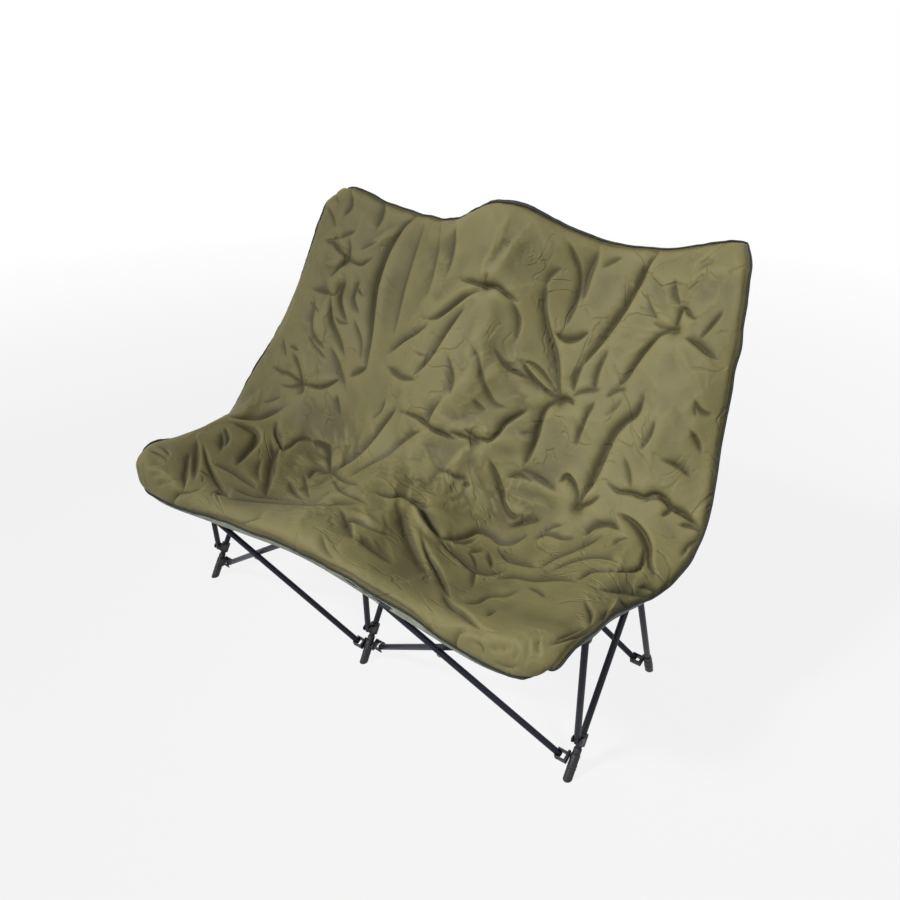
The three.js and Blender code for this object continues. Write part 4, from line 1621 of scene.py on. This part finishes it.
def even_shares(curve_points, count):
    """Shares that step evenly along a curve sampled densely."""
    steps = np.linalg.norm(np.diff(curve_points, axis=0), axis=1)
    length = np.concatenate([[0], np.cumsum(steps)])
    t = np.linspace(0, 1, len(curve_points))
    return np.interp(np.linspace(0, length[-1], count), length, t)


def smooth_noise(points, scale, seed, waves=7):
    """Smooth noise between -1 and 1 as a sum of turned waves, at a scale in radians per metre."""
    rng = np.random.default_rng(seed)
    total = np.zeros(points.shape[:-1])
    for _ in range(waves):
        direction = rng.normal(size=3)
        direction /= np.linalg.norm(direction)
        total += np.sin(points @ direction * scale * rng.uniform(0.6, 1.5) + rng.uniform(0, 7))
    return total / waves


def grid_place(v, rows, columns):
    """Row and column of a vertex of a grid that is one unit wide and long."""
    return round((v.co.y + 0.5) * (rows - 1)), round((v.co.x + 0.5) * (columns - 1))


def grid_mesh(points, name):
    """A one-sheet mesh object from a grid of points, made from a bmesh grid."""
    rows, columns = points.shape[:2]
    bm = bmesh.new()
    bmesh.ops.create_grid(bm, x_segments=columns - 1, y_segments=rows - 1, size=0.5)
    bm.verts.ensure_lookup_table()
    for v in bm.verts:
        v.co = points[grid_place(v, rows, columns)]
    return linked(name, mesh_of(bm, name))


def settle(points, pins, size):
    """Cloth with more length than its surface, held at its edges and tufts, buckles into folds."""
    sheet = grid_mesh(points, "settling_sheet")
    group = sheet.vertex_groups.new(name="held")
    group.add(np.nonzero(pins.reshape(-1))[0].tolist(), 1.0, "REPLACE")
    cloth = sheet.modifiers.new("cloth", "CLOTH")
    for key, value in CLOTH_SETTINGS.items():
        setattr(cloth.settings, key, value)
    cloth.settings.shrink_min = -size.slack
    cloth.settings.vertex_group_mass = group.name
    cloth.settings.effector_weights.gravity = 0
    cloth.collision_settings.use_collision = False
    scene = bpy.context.scene
    for clock in (scene, cloth.point_cache):
        clock.frame_start, clock.frame_end = 1, size.frames
    for step in range(1, size.frames + 1):
        scene.frame_set(step)
    done = sheet.evaluated_get(bpy.context.evaluated_depsgraph_get())
    settled = np.zeros(points.size)
    done.data.vertices.foreach_get("co", settled)
    scene.frame_set(1)
    bpy.data.objects.remove(sheet)
    return settled.reshape(points.shape)


def blurred(field, cells):
    """Grid values averaged under a bell curve that is some cells wide."""
    reach = round(cells * 2.5)
    weights = np.exp(-0.5 * (np.arange(-reach, reach + 1) / cells) ** 2)
    weights /= weights.sum()
    for axis in (0, 1):
        lines = np.moveaxis(field, axis, 0)
        wide = np.pad(lines, [(reach, reach)] + [(0, 0)] * (field.ndim - 1), mode="edge")
        total = sum(w * wide[k : k + len(lines)] for k, w in enumerate(weights))
        field = np.moveaxis(total, 0, axis)
    return field


def flattened(field, share, cells):
    """Grid values less a share of their own blurred form."""
    return field - share * blurred(field, cells)


def refined(grid):
    """The same surface on twice as many cells, its new points on a cubic through four."""
    for axis in (0, 1):
        lines = np.moveaxis(grid, axis, 0)
        wide = np.concatenate([2 * lines[:1] - lines[1:2], lines, 2 * lines[-1:] - lines[-2:-1]])
        between = (9 * (wide[1:-2] + wide[2:-1]) - wide[:-3] - wide[3:]) / 16
        fine = np.empty((2 * len(lines) - 1, *lines.shape[1:]))
        fine[::2], fine[1::2] = lines, between
        grid = np.moveaxis(fine, 0, axis)
    return grid


def photo_pixels(points):
    """The photo's pixels that points in metres lie under."""
    local = (points - np.array(PHOTO_PLACE)) @ np.array(Euler(PHOTO_TURN).to_matrix())
    focal = PHOTO_LENS / SENSOR * PHOTO_PIXELS
    half = PHOTO_PIXELS / 2
    depth = -local[..., 2]
    return np.stack([half + focal * local[..., 0] / depth, half - focal * local[..., 1] / depth], -1)


def half_steps(shares):
    """The shares with one more half-way between each pair."""
    return np.interp(np.arange(2 * len(shares) - 1) / 2, np.arange(len(shares)), shares)


def line_distance(pixels, line):
    """Distance in pixels to a smooth line, the share of its length at the nearest point, and
    1 where a pixel lies on the line's shaded side, or else -1."""
    dense = spline(line, np.linspace(0, 1, 6 * len(line)))
    starts, runs = dense[:-1], np.diff(dense, axis=0)
    lengths = np.linalg.norm(runs, axis=1)
    before = np.concatenate([[0], np.cumsum(lengths)[:-1]])
    whole = dense[-1] - dense[0]
    turn = 1 if whole[1] * SHADED_SIDE[0] > whole[0] * SHADED_SIDE[1] else -1
    best = np.full(len(pixels), np.inf)
    share = np.zeros(len(pixels))
    side = np.zeros(len(pixels))
    for start, run, length, passed in zip(starts, runs, lengths, before):
        t = np.clip((pixels - start) @ run / max(length**2, 1e-9), 0, 1)
        offset = pixels - start - t[:, None] * run
        away = np.linalg.norm(offset, axis=1)
        nearer = away < best
        best = np.where(nearer, away, best)
        across = np.array([run[1], -run[0]]) * turn
        side = np.where(nearer, np.where(offset @ across > 0, 1, -1), side)
        share = np.where(nearer, (passed + t * length) / lengths.sum(), share)
    return best, share, side


def seen_from_camera(points, normal):
    """1 where a surface faces the photo's camera, 0 where it turns away."""
    to_camera = unit(np.array(PHOTO_PLACE) - points)
    return np.clip(np.sum(to_camera * normal, axis=-1) / GRAZING, 0, 1)


def under_pixel(points, normal, pixel):
    """Row and column of the visible grid point nearest to a pixel of the photo."""
    away = np.linalg.norm(photo_pixels(points) - np.array(pixel), axis=-1)
    hidden = seen_from_camera(points, normal) < 0.5
    return np.unravel_index(np.argmin(away + PHOTO_PIXELS * hidden), away.shape)


def sheet_bmesh(points, painted_shades, step, material, seam_row):
    """One sheet of the cover on every point or every other point of the grid, and on every point
    of its rim."""
    rows, columns = points.shape[:2]
    bm = bmesh.new()
    # This layer holds the painted light and shade of the face.
    tone = bm.verts.layers.float.new("fold")
    seam = bm.verts.layers.int.new("seam")
    uv = bm.loops.layers.uv.new("cloth")
    bmesh.ops.create_grid(
        bm, x_segments=(columns - 1) // step, y_segments=(rows - 1) // step, size=0.5
    )
    if step > 1:
        rim = [e for e in bm.edges if e.is_boundary]
        bmesh.ops.subdivide_edges(bm, edges=rim, cuts=step - 1)
    for f in bm.faces:
        f.material_index = material
        for loop in f.loops:
            place = loop.vert.co
            loop[uv].uv = (place.x * FLAT_WIDTH, (place.y + 0.5) * rows * FLAT_ROW)
    for v in bm.verts:
        i, j = grid_place(v, rows, columns)
        v.co = points[i, j]
        v[tone] = painted_shades[i, j]
        v[seam] = i == seam_row
    return bm


class Cover:
    """The padded face, the backing and the band round the edge, on one grid."""

    def __init__(self):
        size = settings().cover
        dense = np.linspace(0, 1, GUIDE_SAMPLES)
        guide = middle_surface([GUIDE_ACROSS], dense)[:, 0]
        along = even_shares(guide, size.rows + 1)
        crease = CREASE_STATION / (len(STATIONS) - 1)
        row = int(np.argmin(abs(along - crease)))
        along[row] = crease
        wide = middle_surface(dense * 2 - 1, [GUIDE_ALONG])[0]
        across = even_shares(wide, size.columns + 1) * 2 - 1
        middle = middle_surface(across, along)
        normal = grid_normals(middle)
        to_edge = self.edge_distance(middle)
        inner = self.drawn_in(to_edge)
        rim = size.gusset * RIM_ABOVE
        face = middle + normal * (rim + (size.padding - rim) * inner)[..., None]
        ruffle = sum(height * smooth_noise(face, *waves) for height, *waves in RUFFLES)
        ruffled = RUFFLED_EDGE + (1 - RUFFLED_EDGE) * inner
        face = face + normal * (ruffle * ruffled)[..., None]
        tufts = [under_pixel(face, normal, pixel) for pixel in TUFT_PIXELS]
        if size.simulate:
            face = self.settled(face, to_edge, tufts, size)
        self.crease_row = 2 * row
        self.middle = refined(middle)
        self.normal = grid_normals(self.middle)
        self.to_edge = refined(to_edge)
        self.inner = self.drawn_in(self.to_edge)
        self.face = self.creased(refined(face), tufts)
        self.shares = (half_steps(across), half_steps(along))
        self.back = self.backing(size)
        # Painted light and shade for the face's colour, from its folds and crests.
        self.fold = self.fold_shade()

    def edge_distance(self, middle):
        """Distance of each grid point to the cover's outer edge, measured on the grid."""
        steps_x = np.linalg.norm(np.diff(middle, axis=1), axis=2)
        run_x = np.concatenate([np.zeros((len(middle), 1)), np.cumsum(steps_x, 1)], 1)
        steps_y = np.linalg.norm(np.diff(middle, axis=0), axis=2)
        run_y = np.concatenate([np.zeros((1, middle.shape[1])), np.cumsum(steps_y, 0)], 0)
        self.to_front = refined(run_y[-1:] - run_y)
        left, right = run_x, run_x[:, -1:] - run_x
        return np.minimum.reduce([left, right, run_y, run_y[-1:] - run_y])

    def drawn_in(self, to_edge):
        """A quarter circle's rise from 0 at the edge to 1 inside."""
        share = np.clip(to_edge / ROUND_OFF, 0, 1)
        return np.sqrt(share * (2 - share))

    def settled(self, face, to_edge, tufts, size):
        """The face with the small folds of a cloth that is a little too long for it."""
        pins = to_edge < HELD_EDGE
        for tuft in tufts:
            pins = pins | (np.linalg.norm(face - face[tuft], axis=2) < HELD_TUFT)
        shift = settle(face, pins, size) - face
        shift = flattened(shift, *SETTLED_LOSS)
        length = np.linalg.norm(shift, axis=2, keepdims=True)
        shift *= np.tanh(length / size.cap) * size.cap / np.maximum(length, 1e-9)
        grown = np.clip((to_edge - SETTLED_START) / SETTLED_RUN, 0, 1)
        return face + shift * SETTLED_SHARE * grown[..., None]

    def creased(self, face, tufts):
        """The face with the photo's folds, its tufts and the puckers along its edge."""
        height = self.traced(photo_pixels(face).reshape(-1, 2)).reshape(face.shape[:2])
        height = flattened(height * MM * FOLD_STRENGTH, *TRACED_LOSS)
        seen = seen_from_camera(face, self.normal)
        height *= seen
        # The painted shade of the traced folds fades, like their depth, where the face turns from the
        # camera.
        self.dark = self.dark.reshape(seen.shape) * seen
        for i, j in tufts:
            near = np.linalg.norm(face - face[2 * i, 2 * j], axis=2)
            height -= sum(depth * falloff(near, radius) for depth, radius in TUFT_DIMPLES)
        height *= np.clip(self.to_edge / FOLD_RUN, 0, 1)
        depth, place, width = GROOVE
        height -= depth * falloff(self.to_edge - place, width)
        tall, waves, run = PUCKERS
        height += tall * smooth_noise(face, waves, PUCKER_SEED) * np.exp(-self.to_edge / run)
        tall, waves, run = EDGE_WAVES
        wave = np.stack([smooth_noise(face, waves, seed) for seed in WAVE_SEEDS], -1)
        wave *= tall * np.exp(-self.to_edge / run)[..., None]
        face = face + wave + self.normal * height[..., None]
        above = np.sum((face - self.middle) * self.normal, axis=2)
        floor = np.where(above < 0, LOWEST_FACE * np.tanh(above / LOWEST_FACE), above)
        return face + self.normal * (floor - above)[..., None]

    def traced(self, pixels):
        """The traced folds' height in millimetres at pixels of the photo; also keeps the painted shade
        that each pixel gets from them."""
        valley, ridge, self.dark = np.zeros((3, len(pixels)))
        for depth, half_width, *line in FOLD_PIXELS:
            line = np.array(line, float)
            wide = half_width * PIXELS_PER_MM
            reach = FOLD_REACH * wide
            inside = (pixels > line.min(0) - reach) & (pixels < line.max(0) + reach)
            near = np.nonzero(inside.all(axis=1))[0]
            away, share, side = line_distance(pixels[near], line)
            taper = np.sqrt(np.sin(np.pi * np.clip(share, 0.02, 0.98)))
            if depth > 0:
                ridge[near] = np.maximum(ridge[near], depth * taper * falloff(away, RIDGE_WIDTH * wide))
                continue
            here = wide * (END_WIDTH + (1 - END_WIDTH) * taper)
            lit = np.maximum(LIT_WIDTH * here, NARROWEST_LIT)
            off = away / np.where(side > 0, SHADED_WIDTH * here, lit)
            fall = np.exp(-SLOPE_RATE * off**SLOPE_POWER)
            valley[near] = np.minimum(valley[near], depth * taper * fall)
            # Painted shade: a dark core along the valley and a darker band on its shaded slope.
            core = falloff(away, CORE_WIDTH + CORE_WIDTH_SHARE * here)
            core = CORE_PAINTED_SHADE * core * min(-depth / PAINTED_SHADE_DEPTH, 1)
            slope = SLOPE_PAINTED_SHADE * np.exp(-SLOPE_RATE * off) * (side > 0)
            self.dark[near] = np.maximum(self.dark[near], (core + slope) * taper)
        return valley + ridge

    def piped(self, radius):
        """The face's rim, moved out and up by shares of the piping's radius, and raised at the
        left arm."""
        raised = radius * PIPING_UP + RAISED_BY * bell(*self.shares, *RAISED_PIPING)
        rim = self.face + self.normal * raised[..., None]
        whole = slice(None)
        for end, next_in in ((0, 1), (-1, -2)):
            for edge, inner in (
                ((whole, end), (whole, next_in)),
                ((end, whole), (next_in, whole)),
            ):
                rim[edge] += unit(self.middle[edge] - self.middle[inner]) * (radius * PIPING_OUT)
        return rim

    def backing(self, size):
        """The dark sheet below, which sags beside the outer frames and hangs at the front."""
        rim = size.gusset * (1 - RIM_ABOVE)
        below = rim + (size.backing - rim) * self.inner
        for across in SAGS_ACROSS:
            below = below + SAG_DEPTH * bell(*self.shares, across, SAG_ALONG, *SAG_WIDTHS)
        at_front = falloff(self.to_front, HANG_RUN)
        below = below + (HANG_GAP - below) * at_front
        run = unit(np.gradient(self.middle, axis=0))
        hang = run * (size.gusset * at_front)[..., None]
        return self.middle - self.normal * below[..., None] + hang

    def fold_shade(self):
        """Painted light and shade for the face's colour, 0 in a deep fold and 1 on a crest: height
        above the blurred surface, less the painted shade in the groove beside the seam and along the
        traced folds."""
        height = np.sum((self.face - blurred(self.face, TONE_BLUR)) * self.normal, axis=2)
        tone = np.clip(self.to_edge / TONE_RUN, 0, 1) * height / TONE_HEIGHT
        # Painted shade in the groove beside the piping.
        dark, place, width = SEAM_PAINTED_SHADE
        seam = dark * falloff(self.to_edge - place, width)
        return np.clip(0.5 + tone - seam - FOLD_PAINTED_SHADE * self.dark, 0, 1)

    def slab(self, first, last, seam_row):
        """A closed padded piece from some of the rows, its backing on cells twice as large."""
        rows = slice(first, last + 1)
        face = sheet_bmesh(self.face[rows], self.fold[rows], 1, 0, seam_row)
        bmesh.ops.reverse_faces(face, faces=face.faces)
        back = sheet_bmesh(self.back[rows], self.fold[rows], 2, 1, seam_row)
        bm = bmesh.new()
        add_shape(bm, face)
        add_shape(bm, back)
        seam = bm.verts.layers.int["seam"]
        rims = [e for e in bm.edges if e.is_boundary]
        for f in bmesh.ops.bridge_loops(bm, edges=rims)["faces"]:
            f.material_index = 0 if all(v[seam] for v in f.verts) else 2
        bmesh.ops.recalc_face_normals(bm, faces=bm.faces)
        for f in bm.faces:
            f.smooth = True
        for e in rims:
            e.smooth = False
        bm.verts.layers.int.remove(seam)
        return bm


def cover_piece(bm, name, node):
    """A padded half of the cover that replaces a cushion and rides the cushion's body."""
    mesh = mesh_of(bm, name)
    for key in ("face", "backing", "hem"):
        mesh.materials.append(finish_of(key))
    made = linked(name, mesh)
    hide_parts(node)
    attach(made, node_body(node))
    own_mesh(made)


def round_edge(grid, rows, end):
    """A grid's values along one side, an end row and the other side, in one run."""
    left, right = grid[rows, 0], grid[rows, -1]
    if end == 0:
        return np.concatenate([left[::-1], grid[end, 1:-1], right])
    return np.concatenate([left, grid[end, 1:-1], right[::-1]])


def piping_piece(points, widths, radius, name, body):
    """A bound edge swept along a run of points, thicker where its widths are above 1."""
    curve = bpy.data.curves.new(name, "CURVE")
    curve.dimensions = "3D"
    curve.bevel_depth = radius
    curve.bevel_resolution = 2
    curve.use_fill_caps = True
    line = curve.splines.new("POLY")
    line.points.add(len(points) - 1)
    ripple = 1 + PIPING_RIPPLE * smooth_noise(points, *PIPING_RIPPLES)
    for k, point in enumerate(points):
        line.points[k].co = (*point, 1)
        line.points[k].radius = widths[k] * ripple[k]
    holder = linked(name + "_path", curve)
    bpy.context.view_layer.update()
    swept = holder.evaluated_get(bpy.context.evaluated_depsgraph_get())
    mesh = bpy.data.meshes.new_from_object(swept)
    bpy.data.objects.remove(holder)
    mesh.name = name
    mesh.materials.clear()
    mesh.materials.append(finish_of("piping"))
    for polygon in mesh.polygons:
        polygon.use_smooth = True
    made = linked(name, mesh)
    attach(made, body)
    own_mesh(made)


class LOVESEAT_OT_cover(bpy.types.Operator):
    """Makes the padded back and seat with their backing, piping and hem."""

    bl_idname = "loveseat.cover"
    bl_label = "Padded cover"

    def execute(self, context):
        cover = Cover()
        last = len(cover.face) - 1
        crease = cover.crease_row
        cover_piece(cover.slab(0, crease, crease), "padded_back", "back_cushion")
        cover_piece(cover.slab(crease, last, 0), "padded_seat", "seat_cushion")
        self.edges(cover, last)
        return {"FINISHED"}

    def edges(self, cover, last):
        radius = settings().cover.piping_radius
        crease = cover.crease_row
        rim = cover.piped(radius)
        across = np.linspace(-1, 1, cover.face.shape[1])
        widths = 1 + RAISED_THICKER * bell(*cover.shares, *RAISED_PIPING)
        # Thicker dark piping along the top edge stands in partly for painted shadow under the rolled
        # edge.
        for centre, wide, thicker in THICK_PIPING:
            widths[0] += thicker * falloff(across - centre, wide)
        for name, node, rows, end in (
            ("piping_back", "back_cushion", slice(0, crease + 1), 0),
            ("piping_seat", "seat_cushion", slice(crease, last + 1), -1),
        ):
            points = round_edge(rim, rows, end)
            thick = round_edge(widths, rows, end)
            piping_piece(points, thick, radius, name, node_body(node))


class LOVESEAT_OT_pockets(bpy.types.Operator):
    """Makes the cloth pockets over the pole tops."""

    bl_idname = "loveseat.pockets"
    bl_label = "Pole pockets"

    def execute(self, context):
        layout = Layout()
        for name in SIDES:
            path = pole_path(layout, name)
            top = path[-1]
            run = (top - path[-2]).normalized()
            bore = layout.tube + layout.play
            outer = bore + layout.pocket_wall
            start = top - run * layout.pocket_length
            end = top - run * layout.pocket_sleeve_end
            cap_start = top - run * layout.pocket_cap_start
            cap_end = top + run * layout.pocket_cap_rise
            bm = bmesh.new()
            add_sleeve(bm, start, end, outer, bore, layout.sides, layout.pocket_chamfer)
            add_rod(bm, cap_start, cap_end, outer, layout.sides, layout.pocket_cap_chamfer)
            frame_piece(bm, "pole_pocket_" + name, "pocket")
        return {"FINISHED"}


class LOVESEAT_PT_panel(bpy.types.Panel):
    """Lists the loveseat's settings and steps."""

    bl_idname = "LOVESEAT_PT_panel"
    bl_label = "Camping loveseat"
    bl_space_type = "VIEW_3D"
    bl_region_type = "UI"
    bl_category = "Loveseat"

    def draw(self, context):
        for group in (settings().frame, settings().cover, settings().colours):
            box = self.layout.box()
            for key in group.__annotations__:
                box.prop(group, key)
        for step in STEPS:
            self.layout.operator(step.bl_idname)


STEPS = (
    LOVESEAT_OT_stage,
    LOVESEAT_OT_poles,
    LOVESEAT_OT_joints,
    LOVESEAT_OT_crossed_tubes,
    LOVESEAT_OT_pockets,
    LOVESEAT_OT_cover,
)
CLASSES = (
    LOVESEAT_PG_frame,
    LOVESEAT_PG_cover,
    LOVESEAT_PG_colours,
    LOVESEAT_PG_settings,
    *STEPS,
    LOVESEAT_PT_panel,
)


def register():
    for cls in CLASSES:
        bpy.utils.register_class(cls)
    bpy.types.Scene.loveseat = PointerProperty(type=LOVESEAT_PG_settings)


def unregister():
    del bpy.types.Scene.loveseat
    for cls in reversed(CLASSES):
        bpy.utils.unregister_class(cls)


def main():
    register()
    bpy.ops.loveseat.stage()
    bpy.ops.loveseat.poles()
    bpy.ops.loveseat.joints()
    bpy.ops.loveseat.crossed_tubes()
    bpy.ops.loveseat.pockets()
    bpy.ops.loveseat.cover()


if __name__ == "__main__":
    main()
